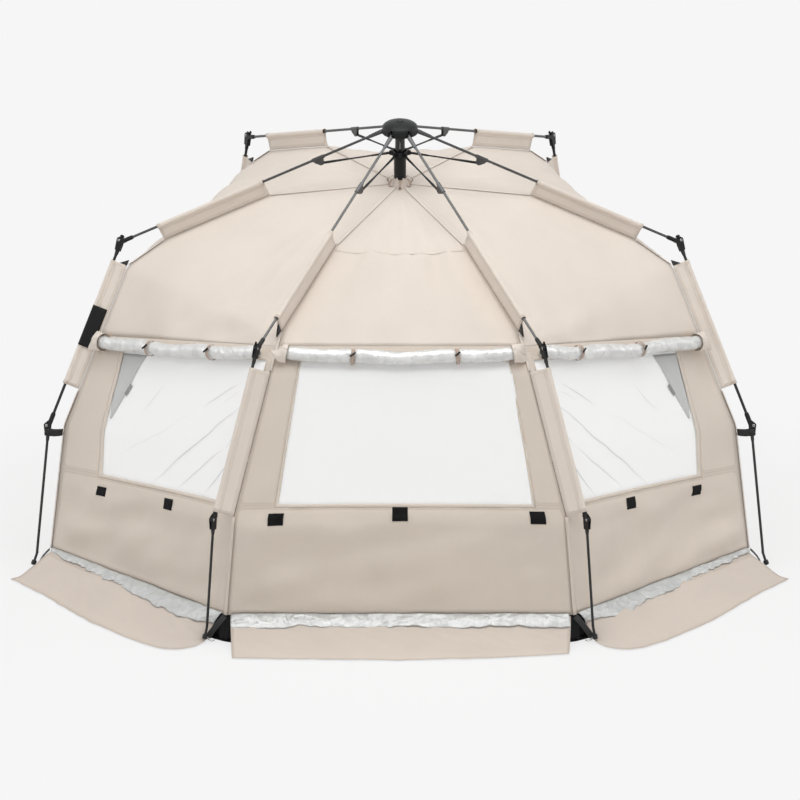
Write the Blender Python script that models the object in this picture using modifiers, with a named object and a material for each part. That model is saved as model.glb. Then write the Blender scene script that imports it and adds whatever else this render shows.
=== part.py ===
import math

import bmesh
import bpy
import numpy as np
from mathutils import Matrix, Vector

# Skeleton: the hub stands over the middle of the floor, six arms droop from it to six legs.
HUB_HEIGHT = 1.645
HUB_TILT = math.radians(7.0)
ARM_LENGTH = 1.099
ARM_PIVOT_RADIUS = 0.054
SIDE_AZIMUTH, FRONT_AZIMUTH, BACK_AZIMUTH = map(math.radians, (4.5, -60.25, 57.5))
SIDE_DROOP, FRONT_DROOP, BACK_DROOP = map(math.radians, (25.8, 26.7, 20.45))
SIDE_FOOT = (1.360, -0.167)
FRONT_FOOT = (0.700, -1.027)
BACK_FOOT = (0.700, 1.100)
KNEE_SHARE = 0.565
KNEE_BOW = 0.090

# Tubes and moulded joints.
ARM_TUBE_RADIUS = 0.0050
MIDDLE_TUBE_RADIUS = 0.0055
LOWER_TUBE_RADIUS = 0.0050
STRUT_RADIUS = 0.0040
GAP = 0.0003
BLADE_THICKNESS = 0.0080
CHEEK_THICKNESS = 0.0032
PIN_RADIUS = 0.0025
SHOULDER_OFFSET = 0.0085
KNEE_OFFSET = 0.0095
EYE_RADIUS = 0.0080
CHANNEL_LENGTH = 0.038
SOCKET_LENGTH = 0.046
SOCKET_WALL = 0.0030
FOOT_RADIUS = 0.0105
TOE_LENGTH = 0.048
TOE_KICK = math.radians(13.0)
TUBE_SIDES = 10
PIN_SIDES = 8
WELD = 0.00001

# Hub, post and runner, with heights measured along the tilted post from the arm pivots.
DOME_RADIUS = 0.066
DOME_RISE = 0.038
DOME_DROP = 0.009
DOME_WALL = 0.0028
DISC_RADIUS = 0.0628
DISC_HALF = 0.0110
COLLAR_RADIUS = 0.0240
COLLAR_DROP = 0.028
POST_RADIUS = 0.0180
POST_WALL = 0.0022
POST_DROP = 0.190
RUNNER_HEIGHT = -0.090
RUNNER_PIN_RADIUS = 0.0360
RUNNER_SLEEVE_RADIUS = 0.0225
RUNNER_RING_RADIUS = 0.0285
RUNNER_SLEEVE_DROP = 0.192
STRUT_EYE_RADIUS = 0.0048
STRUT_BLADE = 0.0044
STRUT_FLAT = 0.0385
BRACKET_DISTANCE = 0.272
BRACKET_DEPTH = 0.022
PLUG_RADIUS = 0.0088
PLUG_LENGTH = 0.066
LATHE_SIDES = 24

# Cloth: the roof hangs under the arms on fins that end in open sleeves round the poles.
CLOTH = 0.0020
FIN_HEIGHT = 0.058
SLEEVE_SLACK = 0.0015
ROOF_APEX_DROP = 0.212
ROOF_APEX_RADIUS = 0.022
ARM_SLEEVE_SHARES = (0.46, 0.86)
SIDE_POLE_SHARES = (0.10, 0.77)
FRONT_POLE_SHARES = (0.11, 0.89)
BACK_POLE_SHARES = (0.10, 0.82)
SIDE_SEAM_DROP, FRONT_SEAM_DROP, BACK_SEAM_DROP = 0.795, 0.615, 0.465
SIDE_SEAM, FRONT_SEAM, BACK_SEAM = (HUB_HEIGHT - drop for drop in (SIDE_SEAM_DROP, FRONT_SEAM_DROP,
                                                                   BACK_SEAM_DROP))
SIDE_SILL, FRONT_SILL, BACK_SILL = 0.330, 0.455, 0.400
SIDE_BASE, FRONT_BASE, BACK_BASE = 0.078, 0.098, 0.080
SEAM_GAP = 0.0032
NEAR_TRIM = 0.0010
FAR_TRIM = 0.0080
GORE_SAG = 0.014
WALL_SAG = 0.016
WINDOW_SHARES = (0.12, 0.88)
WINDOW_COLUMN_SHARES = (0.12, 0.31, 0.50, 0.69, 0.88)
WINDOW_TOP_SHARE = 0.07
LEVEL_GAP_SHARE = 0.015
LEVEL_STEP_SHARE = 0.45
GORE_STEP_SHARE = 0.24
WINDOW_LAP = 0.012
MESH_THICKNESS = 0.0012
FLAP_SHARES = (0.05, 0.95)
FLAP_STRETCH_SHARE = 1.10
FLAP_END_WIDTH = 0.185
FLAP_MIDDLE_WIDTH = 0.235
FLAP_HEIGHT = 0.0040
FLAP_REST_SHARE = 0.80
FLOOR_THICKNESS = 0.0017
FLOOR_REACH_SHARE = 0.94
FLOOR_INSET = 0.012
ROLL_RADIUS = 0.030
ROLL_SHARES = (0.09, 0.91)
ROLL_SIDES = 10
ROLL_STEPS = 8

LEGS = {
    "right": (SIDE_AZIMUTH, SIDE_DROOP, SIDE_FOOT, 1, "side"),
    "back_right": (BACK_AZIMUTH, BACK_DROOP, BACK_FOOT, 1, "back"),
    "back_left": (BACK_AZIMUTH, BACK_DROOP, BACK_FOOT, -1, "back"),
    "left": (SIDE_AZIMUTH, SIDE_DROOP, SIDE_FOOT, -1, "side"),
    "front_left": (FRONT_AZIMUTH, FRONT_DROOP, FRONT_FOOT, -1, "front"),
    "front_right": (FRONT_AZIMUTH, FRONT_DROOP, FRONT_FOOT, 1, "front"),
}
PANELS = {
    "back_right": ("right", "back_right"),
    "back": ("back_right", "back_left"),
    "back_left": ("back_left", "left"),
    "front_left": ("left", "front_left"),
    "front": ("front_left", "front_right"),
    "front_right": ("front_right", "right"),
}
WINDOWED = ("front_left", "front", "front_right")
POLE_SHARES = {"side": SIDE_POLE_SHARES, "front": FRONT_POLE_SHARES, "back": BACK_POLE_SHARES}
SEAMS = {"side": SIDE_SEAM, "front": FRONT_SEAM, "back": BACK_SEAM}
SILLS = {"side": SIDE_SILL, "front": FRONT_SILL, "back": BACK_SILL}
BASES = {"side": SIDE_BASE, "front": FRONT_BASE, "back": BACK_BASE}


def unit(vector):
    return vector / np.linalg.norm(vector)


def clear_scene():
    for item in list(bpy.data.objects):
        bpy.data.objects.remove(item, do_unlink=True)


def make_collection(name, helper=False):
    group = bpy.data.collections.new(name)
    bpy.context.scene.collection.children.link(group)
    group.hide_render = helper
    return group


def make_material(name, color, roughness, metallic=0.0):
    material = bpy.data.materials.new(name)
    material.use_nodes = True
    shader = material.node_tree.nodes["Principled BSDF"]
    shader.inputs["Base Color"].default_value = (*color, 1.0)
    shader.inputs["Roughness"].default_value = roughness
    shader.inputs["Metallic"].default_value = metallic
    material.diffuse_color = (*color, 1.0)
    return material


clear_scene()
TENT = make_collection("beach_tent")
CUTTERS = make_collection("cutters", helper=True)
STEEL = make_material("grey_steel", (0.36, 0.37, 0.38), 0.35, 0.9)
DARK_STEEL = make_material("dark_steel", (0.06, 0.06, 0.065), 0.38, 0.6)
PLASTIC = make_material("black_plastic", (0.022, 0.023, 0.024), 0.48)
POST_PAINT = make_material("post_black", (0.030, 0.033, 0.032), 0.40, 0.3)
SAND_CLOTH = make_material("sand_cloth", (0.70, 0.61, 0.52), 0.85)
MESH_CLOTH = make_material("white_mesh", (0.88, 0.88, 0.86), 0.90)
SILVER_CLOTH = make_material("silver_cloth", (0.70, 0.70, 0.67), 0.42)
FLOOR_CLOTH = make_material("black_sheet", (0.018, 0.018, 0.019), 0.60)


def finish_mesh(name, mesh, matrix, material, group=TENT):
    item = bpy.data.objects.new(name, mesh)
    item.matrix_world = matrix
    group.objects.link(item)
    if material:
        mesh.materials.append(material)
    if group is CUTTERS:
        item.hide_render = True
        item.display_type = "WIRE"
    return item


def mesh_from(shape):
    bmesh.ops.recalc_face_normals(shape, faces=shape.faces)
    mesh = bpy.data.meshes.new("mesh")
    shape.to_mesh(mesh)
    shape.free()
    return mesh


def lathe(stations, sides=TUBE_SIDES, axis="X", shift=0.0):
    """Turned solid: stations are (distance along the axis, radius); shift moves an X lathe in Z."""
    shape = bmesh.new()
    spin_profile(shape, [(radius, 0.0, along) for along, radius in stations], sides, closed=False)
    ends = [edge for edge in shape.edges if edge.is_boundary]
    bmesh.ops.holes_fill(shape, edges=ends, sides=0)
    if axis == "X":
        turn = Matrix.Translation((0.0, 0.0, shift)) @ Matrix.Rotation(math.pi / 2, 4, "Y")
        bmesh.ops.transform(shape, matrix=turn, verts=shape.verts)
    return mesh_from(shape)


def spin_profile(shape, points, sides, closed):
    """Turns a profile in XZ all the way round Z and welds the seam."""
    verts = [shape.verts.new(point) for point in points]
    pairs = list(zip(verts, verts[1:])) + ([(verts[-1], verts[0])] if closed else [])
    edges = [shape.edges.new(pair) for pair in pairs]
    bmesh.ops.spin(shape, geom=verts + edges, cent=(0, 0, 0), axis=(0, 0, 1), angle=math.tau,
                   steps=sides, use_merge=True, use_duplicate=False)
    bmesh.ops.remove_doubles(shape, verts=shape.verts, dist=WELD)


def ring_lathe(profile, sides=LATHE_SIDES):
    """Turned ring round Z: the closed profile of (radius, height) never touches the axis."""
    shape = bmesh.new()
    spin_profile(shape, [(radius, 0.0, height) for radius, height in profile], sides, closed=True)
    return mesh_from(shape)


def prism(outline, half):
    """Flat plate in the XZ plane, from -half to +half in Y."""
    shape = bmesh.new()
    face = shape.faces.new([shape.verts.new((x, -half, z)) for x, z in outline])
    grown = bmesh.ops.extrude_face_region(shape, geom=[face])["geom"]
    moved = [item for item in grown if isinstance(item, bmesh.types.BMVert)]
    bmesh.ops.translate(shape, vec=(0.0, 2 * half, 0.0), verts=moved)
    return mesh_from(shape)


def pin(x, z, radius, half, sides=PIN_SIDES):
    """Round pin along Y."""
    shape = bmesh.new()
    place = Matrix.Translation((x, 0.0, z)) @ Matrix.Rotation(math.pi / 2, 4, "X")
    bmesh.ops.create_cone(shape, cap_ends=True, segments=sides, radius1=radius, radius2=radius,
                          depth=2 * half, matrix=place)
    return mesh_from(shape)


def arc(x, z, radius, start, end, steps):
    """Points of an arc in XZ, angles in degrees from +X towards +Z."""
    angles = np.radians(np.linspace(start, end, steps))
    return [(x + radius * math.cos(a), z + radius * math.sin(a)) for a in angles]


def combine(body, meshes, operation, matrix):
    for count, mesh in enumerate(meshes):
        helper = finish_mesh(f"{operation.lower()}_{body.name}_{len(body.modifiers)}", mesh,
                             matrix, None, CUTTERS)
        step = body.modifiers.new(f"{operation.lower()}{count}", "BOOLEAN")
        step.operation = operation
        step.solver = "EXACT"
        step.object = helper
    return body


def frame_of(origin, along, axis):
    """Matrix with X along the segment, Y on the hinge axis and Z to the outer side."""
    outer = np.cross(along, axis)
    matrix = Matrix.Identity(4)
    for row in range(3):
        matrix[row][0], matrix[row][1] = along[row], axis[row]
        matrix[row][2], matrix[row][3] = outer[row], origin[row]
    return matrix


HUB = np.array([0.0, 0.0, HUB_HEIGHT])
HUB_TURN = np.array([[1, 0, 0],
                     [0, math.cos(HUB_TILT), -math.sin(HUB_TILT)],
                     [0, math.sin(HUB_TILT), math.cos(HUB_TILT)]])
HUB_AXIS = HUB_TURN @ np.array([0.0, 0.0, 1.0])
HUB_MATRIX = Matrix.Translation(Vector(HUB)) @ Matrix([list(row) for row in HUB_TURN]).to_4x4()


class Leg:
    """Points, directions and hinge axes of one arm with its two-part leg."""

    def __init__(self, azimuth, droop, foot, side, kind):
        self.kind = kind
        self.droop = droop
        self.azimuth = azimuth if side > 0 else math.pi - azimuth
        radial = np.array([math.cos(self.azimuth), math.sin(self.azimuth), 0.0])
        around = np.array([-math.sin(self.azimuth), math.cos(self.azimuth), 0.0])
        self.radial, self.around = HUB_TURN @ radial, HUB_TURN @ around
        self.pivot = HUB + self.radial * ARM_PIVOT_RADIUS
        self.along = self.radial * math.cos(droop) - HUB_AXIS * math.sin(droop)
        self.shoulder = self.pivot + self.along * ARM_LENGTH
        self.foot = np.array([side * foot[0], foot[1], FOOT_RADIUS])
        outward = unit(np.array([self.foot[0], self.foot[1], 0.0]))
        self.outward = outward
        middle = self.shoulder + (self.foot - self.shoulder) * KNEE_SHARE
        self.knee = middle + outward * KNEE_BOW
        self.pole = unit(self.knee - self.shoulder)
        self.pole_length = np.linalg.norm(self.knee - self.shoulder)
        self.shank = unit(self.foot - self.knee)
        self.shank_length = np.linalg.norm(self.foot - self.knee)
        self.shoulder_axis = unit(np.cross(self.along, self.pole))
        self.knee_axis = unit(np.cross(self.pole, self.shank))
        self.shoulder_pivot, self.shoulder_bend = self.hinge(
            self.shoulder, self.along, self.pole, self.shoulder_axis, SHOULDER_OFFSET)
        self.knee_pivot, self.knee_bend = self.hinge(
            self.knee, self.pole, self.shank, self.knee_axis, KNEE_OFFSET)
        self.arm_frame = frame_of(self.pivot, self.along, self.around)
        self.shoulder_frame = frame_of(self.shoulder_pivot, self.along, self.shoulder_axis)
        self.pole_frame = frame_of(self.shoulder_pivot, self.pole, self.shoulder_axis)
        self.knee_frame = frame_of(self.knee_pivot, self.pole, self.knee_axis)
        self.shank_frame = frame_of(self.knee_pivot, self.shank, self.knee_axis)
        self.make_strut()
        self.make_rib()

    @staticmethod
    def hinge(corner, before, after, axis, offset):
        """Pivot set off to the outer side of both tubes, and the bend between them."""
        one, two = np.cross(before, axis), np.cross(after, axis)
        pivot = corner + offset * (one + two) / (1.0 + one @ two)
        return pivot, math.acos(float(np.clip(before @ after, -1.0, 1.0)))

    def make_strut(self):
        below = -np.cross(self.along, self.around)
        bracket = self.pivot + self.along * BRACKET_DISTANCE + below * BRACKET_DEPTH
        self.strut_start = HUB + self.radial * RUNNER_PIN_RADIUS + HUB_AXIS * RUNNER_HEIGHT
        reach = bracket - self.strut_start
        self.strut_length = np.linalg.norm(reach)
        self.strut_along = reach / self.strut_length
        self.strut_frame = frame_of(self.strut_start, self.strut_along, self.around)

    def make_rib(self):
        """The line where the cloth panels meet, under the arm and inside the leg."""
        self.arm_in = -np.cross(self.along, self.around)
        self.pole_in = -np.cross(self.pole, self.shoulder_axis)
        top = HUB - HUB_AXIS * ROOF_APEX_DROP + self.radial * ROOF_APEX_RADIUS
        shares = POLE_SHARES[self.kind]
        knots = [("apex", top)]
        for name, share in zip(("arm_in", "arm_out"), ARM_SLEEVE_SHARES):
            knots.append((name, self.arm_point(share) + self.arm_in * FIN_HEIGHT))
        for name, share in zip(("pole_in", "pole_out"), shares):
            knots.append((name, self.pole_point(share) + self.pole_in * FIN_HEIGHT))
        knee = self.knee - self.outward * FIN_HEIGHT
        base = self.foot - self.outward * FIN_HEIGHT
        base[2] = BASES[self.kind]
        knots += [("knee", knee), ("base", base)]
        self.rib = [point for _, point in knots]
        steps = [np.linalg.norm(b - a) for a, b in zip(self.rib, self.rib[1:])]
        self.marks = np.concatenate([[0.0], np.cumsum(steps)])
        self.mark = {name: place for (name, _), place in zip(knots, self.marks)}

    def arm_point(self, share):
        return self.pivot + self.along * ARM_LENGTH * share

    def pole_point(self, share):
        return self.shoulder + self.pole * self.pole_length * share

    def rib_at(self, distance):
        return np.array([np.interp(distance, self.marks, [p[i] for p in self.rib]) for i in range(3)])

    def at_height(self, height):
        """Distance along the rib at which it comes down to this height."""
        heights = [-p[2] for p in self.rib]
        return float(np.interp(-height, heights, self.marks))

    def sleeve(self, distance):
        """Axis point, axis direction, inward direction and radius of a sleeve here, or None."""
        for start, end, point, inward, axis, tube in (
                ("arm_in", "arm_out", self.arm_point, self.arm_in, self.along, ARM_TUBE_RADIUS),
                ("pole_in", "pole_out", self.pole_point, self.pole_in, self.pole, MIDDLE_TUBE_RADIUS)):
            low, high = self.mark[start], self.mark[end]
            if low - GAP <= distance <= high + GAP:
                shares = ARM_SLEEVE_SHARES if start == "arm_in" else POLE_SHARES[self.kind]
                share = np.interp(distance, (low, high), shares)
                return point(share), axis, inward, tube + CLOTH + SLEEVE_SLACK
        return None


LEG = {name: Leg(*values) for name, values in LEGS.items()}


def build_knuckle(name, frame, bend, offset, tube_radius, next_radius):
    """Open channel joint: socket on the incoming tube, cheeks and rivet for the outgoing blade."""
    socket = tube_radius + GAP + SOCKET_WALL
    width = BLADE_THICKNESS / 2 + GAP
    cheek = width + CHEEK_THICKNESS
    blade_low = offset + next_radius + SOCKET_WALL / 2
    out = np.array([math.cos(bend), -math.sin(bend)])
    inner = np.array([-math.sin(bend), -math.cos(bend)])
    start = -(EYE_RADIUS + SOCKET_WALL)
    lip = blade_low + GAP + CHEEK_THICKNESS
    end_in = out * CHANNEL_LENGTH + inner * lip
    end_out = out * CHANNEL_LENGTH - inner * EYE_RADIUS * 0.2
    corner = out * EYE_RADIUS + inner * lip
    low = -offset - socket * 0.93
    outline = [(start * 2, low), (min(corner[0], start * 0.7), low), tuple(corner), tuple(end_in),
               tuple(end_out)]
    outline += arc(0.0, 0.0, EYE_RADIUS + SOCKET_WALL / 2, 60 - math.degrees(bend), 120, 4)
    outline += [(start * 2, -offset + socket * 0.9)]
    body = finish_mesh(name, prism(outline, cheek), frame, PLASTIC)
    sleeve = lathe([(-SOCKET_LENGTH - EYE_RADIUS, socket * 0.86), (-SOCKET_LENGTH, socket),
                    (start * 0.8, socket)], shift=-offset)
    combine(body, [sleeve], "UNION", frame)
    reach = CHANNEL_LENGTH * 2
    slot_low = blade_low + GAP
    heel = blade_heel(bend, blade_low) - EYE_RADIUS * 0.35
    hollow = [tuple(out * reach + inner * slot_low), tuple(out * reach - inner * reach),
              (-reach, reach), (-reach, 0.0), (start * 0.86, 0.0), (start * 0.86, -offset + GAP),
              tuple(out * heel + inner * slot_low)]
    bore = lathe([(-SOCKET_LENGTH * 2, tube_radius + GAP), (start * 1.5, tube_radius + GAP)],
                 shift=-offset)
    combine(body, [prism(hollow, width), bore], "DIFFERENCE", frame)
    rivet = pin(0.0, 0.0, PIN_RADIUS, cheek + CHEEK_THICKNESS / 2)
    combine(body, [rivet], "UNION", frame)
    return body


def blade_heel(bend, depth):
    """Where the inner edge of the blade starts, far enough along to clear the socket."""
    return max(EYE_RADIUS * 0.2, (depth * math.sin(bend) - EYE_RADIUS * 1.1) / math.cos(bend))


def blade_outline(offset, tube_radius, bend):
    """Flat end of a pole: an eye round the pivot that leads into the tube on its inner side."""
    half = tube_radius + SOCKET_WALL / 2
    tail = CHANNEL_LENGTH + EYE_RADIUS
    outline = arc(0.0, 0.0, EYE_RADIUS, 75, 190, 4)
    outline += [(blade_heel(bend, offset + half), -offset - half), (tail, -offset - half),
                (tail, -offset + half), (EYE_RADIUS, -offset + half + EYE_RADIUS * 0.3)]
    return outline


def build_arm(name, leg):
    frame = leg.arm_frame
    stock = PLUG_RADIUS * 1.65
    end = ARM_LENGTH - SHOULDER_OFFSET * math.tan(leg.shoulder_bend / 2)
    tube = lathe([(stock, PLUG_RADIUS * 0.92), (stock * 1.12, PLUG_RADIUS),
                  (PLUG_LENGTH, ARM_TUBE_RADIUS * 1.35), (PLUG_LENGTH + STRUT_RADIUS, ARM_TUBE_RADIUS),
                  (end - EYE_RADIUS * 2.2, ARM_TUBE_RADIUS)])
    arm = finish_mesh(name, tube, frame, STEEL)
    eye = arc(0.0, 0.0, EYE_RADIUS, 70, 290, 7)
    eye += [(stock * 1.07, -EYE_RADIUS * 0.92), (stock * 1.5, -EYE_RADIUS * 0.6),
            (stock * 1.5, EYE_RADIUS * 0.6), (stock * 1.07, EYE_RADIUS * 0.92)]
    reach = BRACKET_DISTANCE
    cheek = STRUT_BLADE / 2 + GAP + CHEEK_THICKNESS * 0.8
    drop = BRACKET_DEPTH + STRUT_EYE_RADIUS * 1.5
    ear = [(reach - STRUT_EYE_RADIUS * 3.4, 0.0), (reach - STRUT_EYE_RADIUS * 2.6, -ARM_TUBE_RADIUS * 1.7),
           (reach - STRUT_EYE_RADIUS * 1.2, -drop * 0.93), (reach, -drop),
           (reach + STRUT_EYE_RADIUS * 1.6, -drop * 0.96),
           (reach + STRUT_EYE_RADIUS * 5.0, -ARM_TUBE_RADIUS * 2.4), (reach + STRUT_EYE_RADIUS * 5.4, 0.0)]
    clamp = lathe([(reach - STRUT_EYE_RADIUS * 4.0, ARM_TUBE_RADIUS * 1.5),
                   (reach + STRUT_EYE_RADIUS * 6.0, ARM_TUBE_RADIUS * 1.5)])
    combine(arm, [prism(eye, BLADE_THICKNESS / 2), prism(ear, cheek), clamp], "UNION", frame)
    top = -ARM_TUBE_RADIUS * 1.34
    slot = [(reach - BRACKET_DEPTH * 2, top), (reach - BRACKET_DEPTH * 2, -drop * 2),
            (reach + BRACKET_DEPTH * 3, -drop * 2), (reach + BRACKET_DEPTH * 3, top)]
    hole = pin(0.0, 0.0, PIN_RADIUS + GAP, BLADE_THICKNESS)
    combine(arm, [hole, prism(slot, STRUT_BLADE / 2 + GAP)], "DIFFERENCE", frame)
    heads = [pin(reach, -BRACKET_DEPTH, PIN_RADIUS * 1.2, cheek + CHEEK_THICKNESS * 0.4)]
    slot_heads = prism([(reach - BRACKET_DEPTH, -drop * 2), (reach + BRACKET_DEPTH, -drop * 2),
                        (reach + BRACKET_DEPTH, top * 1.2), (reach - BRACKET_DEPTH, top * 1.2)],
                       STRUT_BLADE / 2 + GAP)
    combine(arm, heads, "UNION", frame)
    combine(arm, [slot_heads], "DIFFERENCE", frame)
    return arm


def build_strut(name, leg):
    frame = leg.strut_frame
    length = leg.strut_length
    plug = PLUG_LENGTH * 0.9
    start, end = STRUT_EYE_RADIUS * 2.0, length - STRUT_FLAT
    thick = STRUT_RADIUS * 1.25
    tube = lathe([(start, thick), (start + plug, STRUT_RADIUS * 0.95),
                  (start + plug + STRUT_RADIUS, STRUT_RADIUS * 0.8),
                  (end - plug - STRUT_RADIUS, STRUT_RADIUS * 0.8), (end - plug, STRUT_RADIUS * 0.95),
                  (end, thick)], sides=PIN_SIDES)
    strut = finish_mesh(name, tube, frame, DARK_STEEL)
    flats = []
    for centre, turn, inside in ((0.0, 0, start * 1.6), (length, 180, end - start * 0.6)):
        side = 1 if turn == 0 else -1
        outline = arc(centre, 0.0, STRUT_EYE_RADIUS, 70 + turn, 290 + turn, 5)
        outline += [(inside, -side * STRUT_EYE_RADIUS * 0.85), (inside, side * STRUT_EYE_RADIUS * 0.85)]
        flats.append(prism(outline, STRUT_BLADE / 2))
    combine(strut, flats, "UNION", frame)
    holes = [pin(0.0, 0.0, PIN_RADIUS * 0.8 + GAP, STRUT_BLADE)]
    combine(strut, holes, "DIFFERENCE", frame)
    return strut


def build_pole(name, leg):
    frame = leg.pole_frame
    start = SHOULDER_OFFSET * math.tan(leg.shoulder_bend / 2)
    end = start + leg.pole_length - KNEE_OFFSET * math.tan(leg.knee_bend / 2) - EYE_RADIUS * 2.2
    first = CHANNEL_LENGTH + EYE_RADIUS * 0.7
    tube = lathe([(first, MIDDLE_TUBE_RADIUS * 1.3), (first + EYE_RADIUS, MIDDLE_TUBE_RADIUS * 1.3),
                  (first + EYE_RADIUS * 2, MIDDLE_TUBE_RADIUS), (end, MIDDLE_TUBE_RADIUS)],
                 shift=-SHOULDER_OFFSET)
    pole = finish_mesh(name, tube, frame, STEEL)
    outline = blade_outline(SHOULDER_OFFSET, MIDDLE_TUBE_RADIUS, leg.shoulder_bend)
    combine(pole, [prism(outline, BLADE_THICKNESS / 2)], "UNION", frame)
    combine(pole, [pin(0.0, 0.0, PIN_RADIUS + GAP, BLADE_THICKNESS)], "DIFFERENCE", frame)
    return pole


def build_shank(name, leg):
    frame = leg.shank_frame
    start = KNEE_OFFSET * math.tan(leg.knee_bend / 2)
    bend = start + leg.shank_length - TOE_LENGTH
    first = CHANNEL_LENGTH + EYE_RADIUS * 0.7
    tube = lathe([(first, LOWER_TUBE_RADIUS * 1.3), (first + EYE_RADIUS, LOWER_TUBE_RADIUS * 1.3),
                  (first + EYE_RADIUS * 2, LOWER_TUBE_RADIUS), (bend, LOWER_TUBE_RADIUS)],
                 shift=-KNEE_OFFSET)
    shank = finish_mesh(name, tube, frame, STEEL)
    blade = prism(blade_outline(KNEE_OFFSET, LOWER_TUBE_RADIUS, leg.knee_bend), BLADE_THICKNESS / 2)
    stem = LOWER_TUBE_RADIUS * 0.97
    toe = lathe([(-LOWER_TUBE_RADIUS * 1.5, stem), (TOE_LENGTH * 0.55, stem),
                 (TOE_LENGTH * 0.58, FOOT_RADIUS * 0.9), (TOE_LENGTH - FOOT_RADIUS * 0.6, FOOT_RADIUS * 0.95),
                 (TOE_LENGTH - FOOT_RADIUS * 0.2, FOOT_RADIUS * 0.7)])
    toe.transform(Matrix.Translation((bend, 0.0, -KNEE_OFFSET)) @ Matrix.Rotation(-TOE_KICK, 4, "Y"))
    combine(shank, [blade, toe], "UNION", frame)
    combine(shank, [pin(0.0, 0.0, PIN_RADIUS + GAP, BLADE_THICKNESS)], "DIFFERENCE", frame)
    return shank


def hub_frames():
    return [Matrix.Rotation(leg.azimuth, 4, "Z") for leg in LEG.values()]


def spread(mesh_maker):
    """One copy of a shape per arm, turned round the post into one mesh."""
    shape = bmesh.new()
    for turn in hub_frames():
        mesh = mesh_maker()
        mesh.transform(turn)
        shape.from_mesh(mesh)
    return mesh_from(shape)


def build_cap():
    steps = 5
    skirt = DISC_HALF + GAP * 2
    outer, inner = [], []
    for step in range(steps + 1):
        angle = math.pi / 2 * step / steps
        for line, wall in ((outer, 0.0), (inner, DOME_WALL)):
            line.append(((DOME_RADIUS - wall) * math.cos(angle),
                         skirt + (DOME_RISE - wall - skirt) * math.sin(angle)))
    hole = DOME_RADIUS * 0.05
    outer[-1], inner[-1] = (hole, DOME_RISE), (hole, DOME_RISE - DOME_WALL)
    profile = [(DOME_RADIUS, -DOME_DROP)] + outer + inner[::-1] + [(DOME_RADIUS - DOME_WALL, -DOME_DROP)]
    cap = finish_mesh("hub_cap", ring_lathe(profile), HUB_MATRIX, PLASTIC)
    top = DOME_RISE + DOME_WALL / 2
    plug = lathe([(DISC_HALF + DOME_WALL + GAP, DOME_RADIUS * 0.2), (top - DOME_WALL / 4, DOME_RADIUS * 0.2),
                  (top, DOME_RADIUS * 0.18)], axis="Z")
    combine(cap, [plug], "UNION", HUB_MATRIX)

    def arch():
        half = PLUG_RADIUS * 1.3
        outline = [(-half, -DOME_DROP * 2), (half, -DOME_DROP * 2), (half, DOME_DROP * 0.9),
                   (0.0, DOME_DROP * 2.1), (-half, DOME_DROP * 0.9)]
        mesh = prism(outline, DOME_RADIUS * 0.3)
        mesh.transform(Matrix.Translation((DOME_RADIUS, 0.0, 0.0)) @ Matrix.Rotation(math.pi / 2, 4, "Z"))
        return mesh

    combine(cap, [spread(arch)], "DIFFERENCE", HUB_MATRIX)
    return cap


def build_hub_body():
    top = DISC_HALF + DOME_WALL
    bore = POST_RADIUS + GAP
    profile = [(bore, -COLLAR_DROP), (COLLAR_RADIUS * 0.96, -COLLAR_DROP), (COLLAR_RADIUS, -COLLAR_DROP * 0.9),
               (COLLAR_RADIUS, -DISC_HALF), (DISC_RADIUS, -DISC_HALF), (DISC_RADIUS, DISC_HALF),
               (COLLAR_RADIUS, top), (bore, top)]
    body = finish_mesh("hub_body", ring_lathe(profile), HUB_MATRIX, PLASTIC)

    def slot():
        inside, outside = ARM_PIVOT_RADIUS - EYE_RADIUS - GAP * 2, DISC_RADIUS * 1.3
        outline = [(inside, -DISC_HALF * 2), (outside, -DISC_HALF * 2), (outside, top * 2),
                   (inside, top * 2)]
        return prism(outline, BLADE_THICKNESS / 2 + GAP)

    def hinge_pin():
        return pin(ARM_PIVOT_RADIUS, 0.0, PIN_RADIUS, BLADE_THICKNESS / 2 + CHEEK_THICKNESS)

    combine(body, [spread(slot)], "DIFFERENCE", HUB_MATRIX)
    combine(body, [spread(hinge_pin)], "UNION", HUB_MATRIX)
    return body


def build_post():
    low, high = -POST_DROP, DISC_HALF
    profile = [(POST_RADIUS - POST_WALL, low), (POST_RADIUS, low), (POST_RADIUS, high),
               (POST_RADIUS - POST_WALL, high)]
    post = finish_mesh("post_tube", ring_lathe(profile, TUBE_SIDES * 2), HUB_MATRIX, POST_PAINT)
    half = POST_WALL * 1.3
    outline = [(-half, -COLLAR_DROP * 1.25), (-half, RUNNER_HEIGHT * 0.86), (half, RUNNER_HEIGHT * 0.86),
               (half, -COLLAR_DROP * 1.25)]
    slot = prism(outline, POST_RADIUS)
    slot.transform(Matrix.Translation((0.0, -POST_RADIUS * 1.2, 0.0)))
    combine(post, [slot], "DIFFERENCE", HUB_MATRIX)
    return post


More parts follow.
